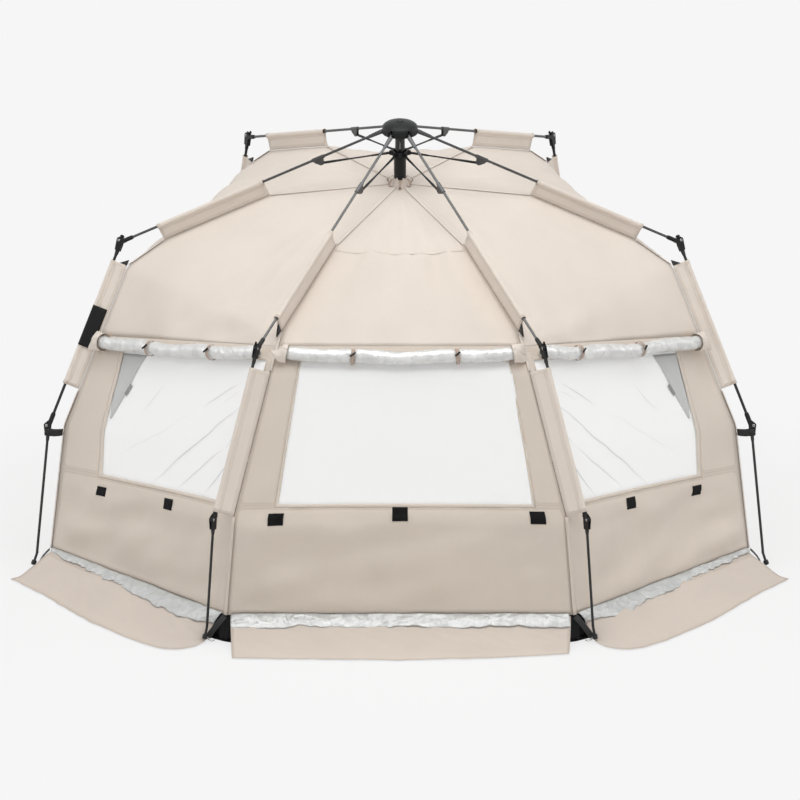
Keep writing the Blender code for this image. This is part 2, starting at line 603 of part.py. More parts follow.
def build_runner():
    origin = HUB_MATRIX @ Matrix.Translation((0.0, 0.0, RUNNER_HEIGHT))
    high = STRUT_EYE_RADIUS * 2.1
    cup = COLLAR_RADIUS + GAP * 2
    floor = -STRUT_EYE_RADIUS * 1.2
    low = -(RUNNER_SLEEVE_DROP + RUNNER_HEIGHT)
    bore = POST_RADIUS + GAP
    neck = -STRUT_EYE_RADIUS * 2.2
    profile = [(bore, low), (RUNNER_SLEEVE_RADIUS * 0.9, low), (RUNNER_SLEEVE_RADIUS, low * 0.82),
               (RUNNER_SLEEVE_RADIUS, neck * 1.5), (RUNNER_RING_RADIUS, neck), (RUNNER_RING_RADIUS, high),
               (cup, high), (cup, floor), (bore, floor)]
    runner = finish_mesh("runner", ring_lathe(profile), origin, PLASTIC)
    cheek = STRUT_BLADE / 2 + GAP + CHEEK_THICKNESS * 0.8
    tip = RUNNER_PIN_RADIUS + STRUT_EYE_RADIUS

    def ear():
        inside = (cup + RUNNER_RING_RADIUS) / 2
        outline = [(inside, -high * 0.85), (tip * 0.94, -high * 0.7), (tip, -high * 0.3), (tip, high * 0.5),
                   (tip * 0.94, high * 0.85), (inside, high * 0.9)]
        return prism(outline, cheek)

    def slot():
        inside = RUNNER_PIN_RADIUS - STRUT_EYE_RADIUS - GAP * 2
        outline = [(inside, -high * 2), (tip * 1.3, -high * 2), (tip * 1.3, high * 2), (inside, high * 2)]
        return prism(outline, STRUT_BLADE / 2 + GAP)

    def hinge_pin():
        return pin(RUNNER_PIN_RADIUS, 0.0, PIN_RADIUS * 0.8, cheek + CHEEK_THICKNESS * 0.3)

    combine(runner, [spread(ear)], "UNION", origin)
    combine(runner, [spread(slot)], "DIFFERENCE", origin)
    combine(runner, [spread(hinge_pin)], "UNION", origin)
    return runner


def cloth(name, grid, thickness, material):
    """Sheet from a grid of points with gaps (None): Solidify thickens it to the inner side."""
    shape = bmesh.new()
    corners = {}
    for row, (one, two) in enumerate(zip(grid, grid[1:])):
        for column in range(len(one) - 1):
            cell = [(row, column), (row + 1, column), (row + 1, column + 1), (row, column + 1)]
            if any(grid[r][c] is None for r, c in cell):
                continue
            for r, c in cell:
                if (r, c) not in corners:
                    corners[r, c] = shape.verts.new(grid[r][c])
            shape.faces.new([corners[place] for place in cell])
    mesh = bpy.data.meshes.new("mesh")
    shape.to_mesh(mesh)
    shape.free()
    sheet = finish_mesh(name, mesh, Matrix.Identity(4), material)
    shell = sheet.modifiers.new("thickness", "SOLIDIFY")
    shell.thickness = thickness
    shell.offset = -1.0
    return sheet


def fill_marks(marks, step):
    """Marks with extra ones between them, no further apart than the step."""
    filled = []
    for one, two in zip(marks, marks[1:]):
        count = max(1, math.ceil((two - one) / step))
        filled += [one + (two - one) * k / count for k in range(count)]
    return filled + [marks[-1]]


def fin_points(leg, distance, rib_point, towards):
    """Points that climb the fin from the rib and turn round the pole, seen from the panel side."""
    found = leg.sleeve(distance)
    if found is None:
        return [None] * 8
    centre, axis, inward, radius = found
    side = towards - axis * (towards @ axis)
    side = unit(side - inward * (side @ inward))
    points = []
    for angle in np.radians(np.linspace(14, 330, 7)):
        points.append(centre + radius * (inward * math.cos(angle) + side * math.sin(angle)))
    half = (rib_point + centre + inward * radius + side * NEAR_TRIM * 2) / 2
    return [half] + points


def panel_rows(near, far, pairs, columns, sag, outward):
    """Grid rows between two ribs for pairs of distances, each with the fin of the near rib."""
    rows = []
    total = len(pairs) - 1
    for place, (one, two) in enumerate(pairs):
        start, end = near.rib_at(one), far.rib_at(two)
        across = unit(end - start)
        start, end = start + across * NEAR_TRIM, end - across * FAR_TRIM
        depth = sag * math.sin(math.pi * place / total)
        row = []
        for share in columns:
            bulge = 4 * share * (1 - share) * depth
            row.append(start + (end - start) * share - outward * bulge)
        fin = fin_points(near, one, start, across)
        rows.append(fin[::-1] + row)
    return rows


def build_gore(panel, near, far):
    ends = [min(leg.at_height(SEAMS[leg.kind]), leg.mark["knee"]) for leg in (near, far)]
    knots = [0.0, near.mark["arm_in"], near.mark["arm_out"]]
    twins = [0.0, far.mark["arm_in"], far.mark["arm_out"]]
    marks = list(knots)
    if near.mark["pole_in"] < ends[0] - FIN_HEIGHT:
        marks += [(near.mark["arm_out"] + near.mark["pole_in"]) / 2, near.mark["pole_in"]]
    marks.append(ends[0])
    marks = fill_marks(marks, GORE_STEP_SHARE * ARM_LENGTH)
    pairs = [(mark, float(np.interp(mark, knots + [ends[0]], twins + [ends[1]]))) for mark in marks]
    columns = np.linspace(0.0, 1.0, 6)
    middle = (near.rib_at(ends[0]) + far.rib_at(ends[1])) / 2
    outward = unit(np.array([middle[0], middle[1], middle[2] * 0.6]))
    rows = panel_rows(near, far, pairs, columns, GORE_SAG, outward)
    return cloth(f"roof_{panel}", rows, CLOTH, SAND_CLOTH)


def wall_heights(leg):
    return SEAMS[leg.kind] - SEAM_GAP, SILLS[leg.kind], BASES[leg.kind]


def wall_levels(near, far):
    """Levels of the rows: seam, window, sill and base, and wherever a rib bends or a sleeve ends."""
    fixed = [0.0, WINDOW_TOP_SHARE, 1.0, 2.0]
    for leg, names in ((near, ("pole_in", "pole_out", "knee")), (far, ("pole_in", "knee"))):
        heights = wall_heights(leg)
        for name in names:
            height = leg.rib_at(leg.mark[name])[2]
            if heights[2] < height < heights[0] - FIN_HEIGHT / 2:
                fixed.append(float(np.interp(-height, [-h for h in heights], (0, 1, 2))))
    fixed.sort()
    kept = [0.0]
    for level in fixed[1:]:
        if level - kept[-1] > LEVEL_GAP_SHARE or level in (WINDOW_TOP_SHARE, 1.0, 2.0):
            kept.append(level)
    return fill_marks(kept, LEVEL_STEP_SHARE)


def wall_point(near, far, share, level, outward):
    """Point of the wall face: share across, level 0 at the seam, 1 at the sill, 2 at the base."""
    heights = [float(np.interp(level, (0, 1, 2), wall_heights(leg))) for leg in (near, far)]
    start, end = near.rib_at(near.at_height(heights[0])), far.rib_at(far.at_height(heights[1]))
    across = unit(end - start)
    start, end = start + across * NEAR_TRIM, end - across * FAR_TRIM
    bulge = 4 * share * (1 - share) * WALL_SAG * math.sin(math.pi * level / 2)
    return start + (end - start) * share - outward * bulge


def wall_normal(near, far, share, level, outward):
    """Square to the wall face at this share and level, to the outside."""
    step = LEVEL_GAP_SHARE
    across = (wall_point(near, far, share + step, level, outward)
              - wall_point(near, far, share - step, level, outward))
    down = (wall_point(near, far, share, level + step, outward)
            - wall_point(near, far, share, level - step, outward))
    normal = unit(np.cross(across, down))
    return normal if normal @ outward > 0 else -normal


def panel_outward(near, far):
    """Level direction square to the foot of the wall, away from the tent."""
    start, end = near.rib[-1], far.rib[-1]
    across = unit((end - start) * np.array([1.0, 1.0, 0.0]))
    return np.array([across[1], -across[0], 0.0])


def build_wall(panel, near, far):
    outward = panel_outward(near, far)
    seam, sill, base = wall_heights(near)
    levels = wall_levels(near, far)
    columns = [0.0, FLAP_SHARES[0], *WINDOW_COLUMN_SHARES, FLAP_SHARES[1], 1.0]
    rows = []
    for level in levels:
        height = float(np.interp(level, (0, 1, 2), (seam, sill, base)))
        row = [wall_point(near, far, share, level, outward) for share in columns]
        distance = near.at_height(height)
        fin = fin_points(near, distance, row[0], unit(row[-1] - row[0]))
        rows.append(fin[::-1] + row)
    first = len(rows[0]) - len(columns)
    if panel in WINDOWED:
        cut_window(rows, levels, columns, first)
    foot = rows[-1][first:]
    for reach in (FLAP_REST_SHARE / 2, FLAP_REST_SHARE, 1.0):
        row = [None] * first
        for share, point in zip(columns, foot):
            if not FLAP_SHARES[0] <= share <= FLAP_SHARES[1]:
                row.append(None)
                continue
            place = flap_point(near, far, share, reach, outward)
            fall = max(0.0, 1 - reach / FLAP_REST_SHARE) ** 1.3
            place[2] = FLAP_HEIGHT + (point[2] - FLAP_HEIGHT) * fall
            row.append(place)
        rows.append(row)
    return cloth(f"wall_{panel}", rows, CLOTH, SAND_CLOTH)


def flap_point(near, far, share, reach, outward):
    """Point of the sand flap over the ground: reach 0 at the foot of the wall, 1 at the outer hem."""
    start, end = near.rib[-1], far.rib[-1]
    wide = 0.5 + (share - 0.5) * (1 + (FLAP_STRETCH_SHARE - 1) * reach)
    width = FLAP_END_WIDTH + (FLAP_MIDDLE_WIDTH - FLAP_END_WIDTH) * math.sin(math.pi * share)
    return start + (end - start) * wide + outward * width * reach


def cut_window(rows, levels, columns, first):
    """Leaves out the points inside the window, so that no cell of the sheet covers it."""
    for row, level in zip(rows, levels):
        if not WINDOW_TOP_SHARE + GAP < level < 1.0 - GAP:
            continue
        for place, share in enumerate(columns):
            if WINDOW_SHARES[0] + GAP < share < WINDOW_SHARES[1] - GAP:
                row[first + place] = None


def build_window(panel, near, far):
    outward = panel_outward(near, far)
    width = np.linalg.norm(near.rib[-1] - far.rib[-1])
    lap = WINDOW_LAP / width
    low, high = WINDOW_SHARES[0] - lap, WINDOW_SHARES[1] + lap
    height = SEAMS[near.kind] - SILLS[near.kind]
    top, bottom = WINDOW_TOP_SHARE - WINDOW_LAP / height, 1.0 + WINDOW_LAP / height
    rows = []
    levels = [top] + [level for level in wall_levels(near, far) if top < level < bottom] + [bottom]
    for level in levels:
        row = []
        for share in (low, *WINDOW_COLUMN_SHARES, high):
            point = wall_point(near, far, share, level, outward)
            row.append(point - wall_normal(near, far, share, level, outward) * (CLOTH + GAP * 3))
        rows.append(row)
    return cloth(f"window_{panel}", rows, MESH_THICKNESS, MESH_CLOTH)


def build_roll(panel, near, far, seed):
    """The window cover rolled up: a soft, uneven roll that hangs along the top of the window."""
    outward = panel_outward(near, far)
    random = np.random.default_rng(seed)
    phase, wave = random.uniform(0, math.tau, 2)
    shape = bmesh.new()
    rings = []
    low, high = ROLL_SHARES
    across = unit(wall_point(near, far, high, 0.0, outward) - wall_point(near, far, low, 0.0, outward))
    for step in range(ROLL_STEPS + 1):
        share = low + (high - low) * step / ROLL_STEPS
        level = WINDOW_TOP_SHARE * (0.75 + 0.3 * math.sin(math.pi * step / ROLL_STEPS))
        seat = wall_point(near, far, share, level, outward)
        up = unit(wall_point(near, far, share, 0.0, outward)
                  - wall_point(near, far, share, WINDOW_TOP_SHARE * 3, outward))
        face = unit(np.cross(across, up))
        face = face if face @ outward > 0 else -face
        centre = seat + face * (ROLL_RADIUS + GAP * 2)
        ends = 0.86 if step in (0, ROLL_STEPS) else 1.0
        ring = []
        for turn in range(ROLL_SIDES):
            angle = math.tau * turn / ROLL_SIDES
            lump = 0.06 * math.cos(2 * angle + phase) + 0.05 * math.sin(angle * 3 + share * 9 + wave)
            size = 1 + lump * (1 + math.cos(angle)) / 2
            spoke = face * math.cos(angle) + up * math.sin(angle)
            ring.append(shape.verts.new(centre + spoke * ROLL_RADIUS * size * ends))
        rings.append(ring)
    for one, two in zip(rings, rings[1:]):
        for turn in range(ROLL_SIDES):
            after = (turn + 1) % ROLL_SIDES
            shape.faces.new((one[turn], one[after], two[after], two[turn]))
    shape.faces.new(rings[0])
    shape.faces.new(rings[-1])
    return finish_mesh(f"roll_{panel}", mesh_from(shape), Matrix.Identity(4), SILVER_CLOTH)


def build_floor():
    """Ground sheet: flat under the tent and out under the flaps that rest on it."""
    shape = bmesh.new()
    outline = []
    for near_name, far_name in PANELS.values():
        near, far = LEG[near_name], LEG[far_name]
        outward = panel_outward(near, far)
        corner = near.rib[-1] - near.outward * FLOOR_INSET
        outline.append(shape.verts.new((corner[0], corner[1], 0.0)))
        for share in (FLAP_SHARES[0], *WINDOW_COLUMN_SHARES, FLAP_SHARES[1]):
            place = flap_point(near, far, share, FLOOR_REACH_SHARE, outward)
            outline.append(shape.verts.new((place[0], place[1], 0.0)))
    face = shape.faces.new(outline)
    grown = bmesh.ops.extrude_face_region(shape, geom=[face])["geom"]
    moved = [item for item in grown if isinstance(item, bmesh.types.BMVert)]
    bmesh.ops.translate(shape, vec=(0.0, 0.0, FLOOR_THICKNESS), verts=moved)
    return finish_mesh("ground_sheet", mesh_from(shape), Matrix.Identity(4), FLOOR_CLOTH)


build_cap()
build_hub_body()
build_post()
build_runner()
for leg_name, leg in LEG.items():
    build_arm(f"arm_{leg_name}", leg)
    build_strut(f"strut_{leg_name}", leg)
    build_knuckle(f"shoulder_joint_{leg_name}", leg.shoulder_frame, leg.shoulder_bend, SHOULDER_OFFSET,
                  ARM_TUBE_RADIUS, MIDDLE_TUBE_RADIUS)
    build_pole(f"middle_pole_{leg_name}", leg)
    build_knuckle(f"knee_joint_{leg_name}", leg.knee_frame, leg.knee_bend, KNEE_OFFSET,
                  MIDDLE_TUBE_RADIUS, LOWER_TUBE_RADIUS)
    build_shank(f"lower_leg_{leg_name}", leg)
for seed, (panel_name, (near_name, far_name)) in enumerate(PANELS.items()):
    near_leg, far_leg = LEG[near_name], LEG[far_name]
    build_gore(panel_name, near_leg, far_leg)
    build_wall(panel_name, near_leg, far_leg)
    if panel_name in WINDOWED:
        build_window(panel_name, near_leg, far_leg)
        build_roll(panel_name, near_leg, far_leg, seed)
build_floor()
bpy.context.view_layer.update()
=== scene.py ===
import math
import bmesh
import bpy
import numpy as np
from mathutils import Matrix, Vector, noise


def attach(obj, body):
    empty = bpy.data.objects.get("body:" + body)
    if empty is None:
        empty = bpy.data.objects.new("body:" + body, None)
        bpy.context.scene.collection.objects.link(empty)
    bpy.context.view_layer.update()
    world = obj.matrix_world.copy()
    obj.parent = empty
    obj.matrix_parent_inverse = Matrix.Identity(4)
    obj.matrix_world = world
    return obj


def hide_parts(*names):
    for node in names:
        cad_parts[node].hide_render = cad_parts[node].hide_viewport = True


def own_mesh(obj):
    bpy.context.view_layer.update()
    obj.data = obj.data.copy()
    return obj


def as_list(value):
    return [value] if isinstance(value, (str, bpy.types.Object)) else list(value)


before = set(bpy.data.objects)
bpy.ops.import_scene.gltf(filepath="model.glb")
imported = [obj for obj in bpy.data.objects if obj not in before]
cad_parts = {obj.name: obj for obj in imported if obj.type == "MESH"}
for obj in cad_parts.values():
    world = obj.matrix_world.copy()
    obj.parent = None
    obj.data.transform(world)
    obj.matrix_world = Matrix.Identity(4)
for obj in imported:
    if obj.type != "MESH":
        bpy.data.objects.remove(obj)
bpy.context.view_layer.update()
print("frame loaded:", len(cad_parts), "nodes")

# Tent lines, in metres and degrees; a share runs along its tube
tentSizes = {"hubHeight": 1.645, "tilt": 7.0, "armLength": 1.099, "pivotRadius": 0.054,
             "kneeShare": 0.565, "kneeBow": 0.090, "footHeight": 0.0105,
             "apexDrop": 0.212, "apexRadius": 0.022, "armSleeve": (0.46, 0.86)}
legKinds = {
    "side": {"azimuth": 4.5, "droop": 25.8, "foot": (1.360, -0.167), "sleeve": (0.10, 0.77),
             "seam": 0.850, "sill": 0.330, "base": 0.078, "fin": 0.058, "finTurn": 0.0},
    "front": {"azimuth": -60.25, "droop": 26.7, "foot": (0.700, -1.027), "sleeve": (0.11, 0.955),
              "seam": 1.030, "sill": 0.455, "base": 0.098, "fin": 0.072, "finTurn": 42.0},
    "back": {"azimuth": 57.5, "droop": 20.45, "foot": (0.700, 1.100), "sleeve": (0.10, 0.82),
             "seam": 1.180, "sill": 0.400, "base": 0.080, "fin": 0.058, "finTurn": 0.0},
}
legNames = {"right": ("side", 1), "back_right": ("back", 1), "back_left": ("back", -1),
            "left": ("side", -1), "front_left": ("front", -1), "front_right": ("front", 1)}
panelLegs = {"back_right": ("right", "back_right"), "back": ("back_right", "back_left"),
             "back_left": ("back_left", "left"), "front_left": ("left", "front_left"),
             "front": ("front_left", "front_right"), "front_right": ("front_right", "right")}
windowed = ("front_left", "front", "front_right")
upward = np.array([0.0, 0.0, 1.0])
onPlan = np.array([1.0, 1.0, 0.0])


def unit(vector):
    return vector / np.linalg.norm(vector)


def turned(vector, axis, degrees):
    angle = math.radians(degrees)
    return (vector * math.cos(angle) + np.cross(axis, vector) * math.sin(angle)
            + axis * (axis @ vector) * (1 - math.cos(angle)))


tilt = math.radians(tentSizes["tilt"])
hub = upward * tentSizes["hubHeight"]
hubTurn = np.array([[1, 0, 0], [0, math.cos(tilt), -math.sin(tilt)], [0, math.sin(tilt), math.cos(tilt)]])
hubAxis = hubTurn @ upward
hubMatrix = Matrix.Translation(Vector(hub)) @ Matrix([list(row) for row in hubTurn]).to_4x4()


class LegLine:
    # One arm and leg: where its tubes run and where the cloth meets them

    def __init__(self, kind, side):
        size = legKinds[kind]
        self.size, self.kind, self.fin = size, kind, size["fin"]
        azimuth = math.radians(size["azimuth"])
        azimuth = azimuth if side > 0 else math.pi - azimuth
        droop = math.radians(size["droop"])
        radial = hubTurn @ np.array([math.cos(azimuth), math.sin(azimuth), 0.0])
        around = hubTurn @ np.array([-math.sin(azimuth), math.cos(azimuth), 0.0])
        self.pivot = hub + radial * tentSizes["pivotRadius"]
        self.along = radial * math.cos(droop) - hubAxis * math.sin(droop)
        self.shoulder = self.pivot + self.along * tentSizes["armLength"]
        self.foot = np.array([side * size["foot"][0], size["foot"][1], tentSizes["footHeight"]])
        self.outward = unit(self.foot * onPlan)
        self.knee = (self.shoulder + (self.foot - self.shoulder) * tentSizes["kneeShare"]
                     + self.outward * tentSizes["kneeBow"])
        self.pole = unit(self.knee - self.shoulder)
        self.poleLength = np.linalg.norm(self.knee - self.shoulder)
        self.shank = unit(self.foot - self.knee)
        self.bendAxis = unit(np.cross(self.along, self.pole))
        self.armIn = -np.cross(self.along, around)
        self.poleIn = turned(-np.cross(self.pole, self.bendAxis), self.pole, -side * size["finTurn"])
        wallIn = turned(-self.outward, upward, side * size["finTurn"])
        base = self.foot + wallIn * self.fin
        base[2] = size["base"]
        self.knots = [hub - hubAxis * tentSizes["apexDrop"] + radial * tentSizes["apexRadius"]]
        self.knots += [self.armPoint(share) + self.armIn * self.fin for share in tentSizes["armSleeve"]]
        self.knots += [self.polePoint(share) + self.poleIn * self.fin for share in size["sleeve"]]
        self.knots += [self.knee + wallIn * self.fin, base]
        steps = [np.linalg.norm(b - a) for a, b in zip(self.knots, self.knots[1:])]
        self.marks = np.concatenate([[0.0], np.cumsum(steps)])

    def armPoint(self, share):
        return self.pivot + self.along * tentSizes["armLength"] * share

    def polePoint(self, share):
        return self.shoulder + self.pole * self.poleLength * share

    def ribAt(self, distance):
        return np.array([np.interp(distance, self.marks, [p[i] for p in self.knots]) for i in range(3)])

    def softRibAt(self, distance, reach):
        # The rib with its corners rounded, as the cloth lies away from the poles
        return sum(self.ribAt(distance + reach * step) for step in (-1.0, -0.5, 0.0, 0.5, 1.0)) / 5

    def atHeight(self, height):
        return float(np.interp(-height, [-p[2] for p in self.knots], self.marks))


legLines = {name: LegLine(*kind) for name, kind in legNames.items()}


def legsOf(panel):
    return [legLines[name] for name in panelLegs[panel]]


def seedOf(panel, rate):
    return sorted(panelLegs).index(panel) * rate


def footWidth(panel):
    near, far = legsOf(panel)
    return np.linalg.norm(near.knots[-1] - far.knots[-1])


def wobble(x, y, z):
    return noise.noise(Vector((x, y, z)))


def even(count, low=0.0, high=1.0):
    return list(np.linspace(low, high, count + 1))


# Shader groups
def shaderGroup(title, inputs, outputs):
    tree = bpy.data.node_groups.new(title, "ShaderNodeTree")
    for label, value in inputs.items():
        tree.interface.new_socket(label, in_out="INPUT", socket_type="NodeSocketFloat").default_value = value
    for label in outputs:
        tree.interface.new_socket(label, in_out="OUTPUT", socket_type="NodeSocketFloat")
    return tree, tree.nodes.new("NodeGroupInput").outputs, tree.nodes.new("NodeGroupOutput").inputs


def addNode(tree, kind, options=None, values=None, links=None):
    made = tree.nodes.new("ShaderNode" + kind)
    for key, value in (options or {}).items():
        setattr(made, key, value)
    for key, value in (values or {}).items():
        made.inputs[key].default_value = value
    for key, source in (links or {}).items():
        tree.links.new(source, made.inputs[key])
    return made.outputs


def mathNode(tree, operation, first, second=0.0, third=0.0):
    made = tree.nodes.new("ShaderNodeMath")
    made.operation = operation
    for place, item in enumerate((first, second, third)):
        if isinstance(item, (int, float)):
            made.inputs[place].default_value = item
        else:
            tree.links.new(item, made.inputs[place])
    return made.outputs[0]


def clothMap(tree):
    uv = addNode(tree, "UVMap", {"uv_map": "UVMap"})["UV"]
    return uv, addNode(tree, "SeparateXYZ", links={"Vector": uv})


def buildWeaveGroup():
    # Plain weave on the cloth's own UV map, which is in metres
    tree, given, out = shaderGroup("plainWeave", {"Threads": 900.0, "Slub": 0.5}, ("Height", "Tint"))
    uv, parts = clothMap(tree)
    turn = mathNode(tree, "MULTIPLY", given["Threads"], math.pi)
    warp = mathNode(tree, "SINE", mathNode(tree, "MULTIPLY", parts["X"], turn))
    weft = mathNode(tree, "SINE", mathNode(tree, "MULTIPLY", parts["Y"], turn))
    cross = mathNode(tree, "MULTIPLY", warp, weft)
    slub = addNode(tree, "TexNoise", {"noise_dimensions": "3D"}, {"Scale": 140.0, "Detail": 3.0},
                   {"Vector": uv})["Fac"]
    tree.links.new(mathNode(tree, "MULTIPLY_ADD", slub, given["Slub"], cross), out["Height"])
    tree.links.new(slub, out["Tint"])
    return tree


def buildStitchGroup():
    # Twin rows of stitches beside a seam, from the distance to it that the cloth carries
    tree, given, out = shaderGroup("seamStitch", {"Row": 0.006, "Pitch": 0.0035}, ("Height", "Mask"))
    away = addNode(tree, "Attribute", {"attribute_name": "seamDistance"})["Fac"]
    uv, parts = clothMap(tree)
    run = mathNode(tree, "ADD", parts["X"], parts["Y"])
    dash = mathNode(tree, "PINGPONG", mathNode(tree, "DIVIDE", run, given["Pitch"]), 0.5)
    dash = mathNode(tree, "GREATER_THAN", dash, 0.13)
    rows = []
    for count in (1.0, 1.9):
        gap = mathNode(tree, "SUBTRACT", away, mathNode(tree, "MULTIPLY", given["Row"], count))
        rows.append(mathNode(tree, "LESS_THAN", mathNode(tree, "ABSOLUTE", gap), 0.0005))
    line = mathNode(tree, "MULTIPLY", mathNode(tree, "MAXIMUM", *rows), dash)
    hem = mathNode(tree, "LESS_THAN", away, mathNode(tree, "MULTIPLY", given["Row"], 2.3))
    tree.links.new(mathNode(tree, "MULTIPLY_ADD", line, 1.5, hem), out["Height"])
    tree.links.new(mathNode(tree, "MAXIMUM", line, mathNode(tree, "MULTIPLY", hem, 0.35)), out["Mask"])
    return tree


def buildMottleGroup():
    # Slow shifts of tone and a fine grain over a surface, from object coordinates
    tree, given, out = shaderGroup("slowMottle", {"Scale": 3.0, "Fine": 26.0}, ("Tone", "Grain"))
    place = addNode(tree, "TexCoord")["Object"]
    for source, result, detail, rough in (("Scale", "Tone", 3.0, 0.55), ("Fine", "Grain", 4.0, 0.6)):
        cloud = addNode(tree, "TexNoise", values={"Detail": detail, "Roughness": rough},
                        links={"Vector": place, "Scale": given[source]})["Fac"]
        tree.links.new(cloud, out[result])
    return tree


def buildCrumpleGroup():
    # Creased coating: flat facets of two sizes, each leaning its own way; Mask makes the low facets darker
    # and the high ones lighter, painted shade and highlight
    tree, given, out = shaderGroup("coatCrumple", {"Scale": 26.0}, ("Height", "Mask"))
    place = addNode(tree, "TexCoord")["Object"]
    drift = addNode(tree, "TexNoise", values={"Scale": 9.0, "Detail": 3.0}, links={"Vector": place})["Color"]
    moved = addNode(tree, "VectorMath", {"operation": "MULTIPLY_ADD"}, {1: (0.07, 0.07, 0.07)},
                    {0: drift, 2: place})["Vector"]
    heights = []
    for growth, depth in ((1.0, 1.0), (2.6, 0.8)):
        scale = mathNode(tree, "MULTIPLY", given["Scale"], growth)
        cell = addNode(tree, "TexVoronoi", {"feature": "F1"}, links={"Vector": moved, "Scale": scale})
        away = addNode(tree, "VectorMath", {"operation": "SUBTRACT"},
                       links={0: moved, 1: cell["Position"]})["Vector"]
        lean = addNode(tree, "VectorMath", {"operation": "SUBTRACT"}, {1: (0.5, 0.5, 0.5)},
                       {0: cell["Color"]})["Vector"]
        facet = addNode(tree, "VectorMath", {"operation": "DOT_PRODUCT"}, links={0: away, 1: lean})["Value"]
        heights.append(mathNode(tree, "MULTIPLY", facet, depth))
    height = mathNode(tree, "ADD", *heights)
    tree.links.new(mathNode(tree, "MULTIPLY", height, 40.0), out["Height"])
    tree.links.new(mathNode(tree, "MULTIPLY_ADD", height, 30.0, 0.5), out["Mask"])
    return tree


# Creases of the left net: start, end and strength of each line, in metres on its UV map
creaseSettings = {"thin": 0.0026, "wide": 0.016, "width": 1.084, "flipScale": 0.904, "drift": 0.036,
                  "lines": (((0.419, 0.489), (0.912, 0.146), 1.0), ((0.587, 0.478), (0.843, 0.302), 0.8),
                            ((0.769, 0.478), (0.924, 0.302), 1.0), ((0.646, 0.198), (0.834, 0.104), 0.7),
                            ((0.829, 0.322), (0.911, 0.229), 0.5), ((0.175, 0.426), (0.646, 0.198), 0.25),
                            ((0.308, 0.250), (0.414, 0.135), 0.45), ((0.753, 0.177), (0.847, 0.125), 0.3))}


def buildCreaseGroup():
    # Taut creases of a side net; Flip mirrors them for the right one. Height is their bump; Mask is painted
    # shade along them
    tree, given, out = shaderGroup("tautCrease", {"Flip": 0.0}, ("Height", "Mask"))
    uv, parts = clothMap(tree)
    other = mathNode(tree, "SUBTRACT", creaseSettings["width"], mathNode(tree, "MULTIPLY", parts["X"], 2.0))
    across = mathNode(tree, "MULTIPLY_ADD", other, given["Flip"], parts["X"])
    shrink = mathNode(tree, "MULTIPLY_ADD", given["Flip"], creaseSettings["flipScale"] - 1.0, 1.0)
    down = mathNode(tree, "MULTIPLY", parts["Y"], shrink)
    drift = addNode(tree, "TexNoise", values={"Scale": 5.0, "Detail": 2.0}, links={"Vector": uv})["Fac"]
    bend = mathNode(tree, "MULTIPLY_ADD", drift, creaseSettings["drift"], -creaseSettings["drift"] / 2)
    total = {"thin": 0.0, "wide": 0.0}
    for start, end, depth in creaseSettings["lines"]:
        run = Vector(end) - Vector(start)
        length = run.length
        x = mathNode(tree, "SUBTRACT", across, start[0])
        y = mathNode(tree, "SUBTRACT", down, start[1])
        along = mathNode(tree, "MULTIPLY", y, run.y / length ** 2)
        along = mathNode(tree, "MULTIPLY_ADD", x, run.x / length ** 2, along)
        aside = mathNode(tree, "MULTIPLY", y, -run.x / length)
        aside = mathNode(tree, "MULTIPLY_ADD", x, run.y / length, aside)
        aside = mathNode(tree, "ABSOLUTE", mathNode(tree, "ADD", aside, bend))
        rest = mathNode(tree, "SUBTRACT", 1.0, along)
        ends = mathNode(tree, "MULTIPLY", mathNode(tree, "MULTIPLY", along, 4.0), rest)
        fade = mathNode(tree, "MINIMUM", mathNode(tree, "MAXIMUM", ends, 0.0), 1.0)
        for reach in total:
            span = {"From Max": creaseSettings[reach], "To Min": depth, "To Max": 0.0}
            line = addNode(tree, "MapRange", values=span, links={"Value": aside})["Result"]
            total[reach] = mathNode(tree, "MAXIMUM", total[reach], mathNode(tree, "MULTIPLY", line, fade))
    tree.links.new(total["wide"], out["Height"])
    # Painted shade: a dark thin line on each crease and a faint wide band beside it
    mask = mathNode(tree, "MULTIPLY", total["thin"], 0.75)
    tree.links.new(mathNode(tree, "MULTIPLY_ADD", total["wide"], 0.14, mask), out["Mask"])
    return tree


groups = {"crease": buildCreaseGroup(), "weave": buildWeaveGroup(), "stitch": buildStitchGroup(),
          "mottle": buildMottleGroup(), "crumple": buildCrumpleGroup()}


def placeGroup(tree, name, **values):
    made = tree.nodes.new("ShaderNodeGroup")
    made.node_tree = groups[name]
    for key, value in values.items():
        made.inputs[key].default_value = value
    return made.outputs


def newMaterial(title, roughness, **sockets):
    material = bpy.data.materials.new(title)
    material.use_nodes = True
    shader = material.node_tree.nodes["Principled BSDF"]
    shader.inputs["Roughness"].default_value = roughness
    for key, value in sockets.items():
        shader.inputs[key.replace("_", " ")].default_value = value
    return material, material.node_tree, shader


def colourRamp(tree, factor, stops):
    made = tree.nodes.new("ShaderNodeValToRGB")
    ramp = made.color_ramp
    for element, (place, colour) in zip(ramp.elements, stops):
        element.position, element.color = place, (*colour, 1.0)
    tree.links.new(factor, made.inputs["Fac"])
    return made.outputs["Color"]


def shaded(colour, share):
    return tuple(channel * share for channel in colour)


def bumpInto(tree, shader, height, strength, distance):
    normal = addNode(tree, "Bump", values={"Strength": strength, "Distance": distance},
                     links={"Height": height})["Normal"]
    tree.links.new(normal, shader.inputs["Normal"])


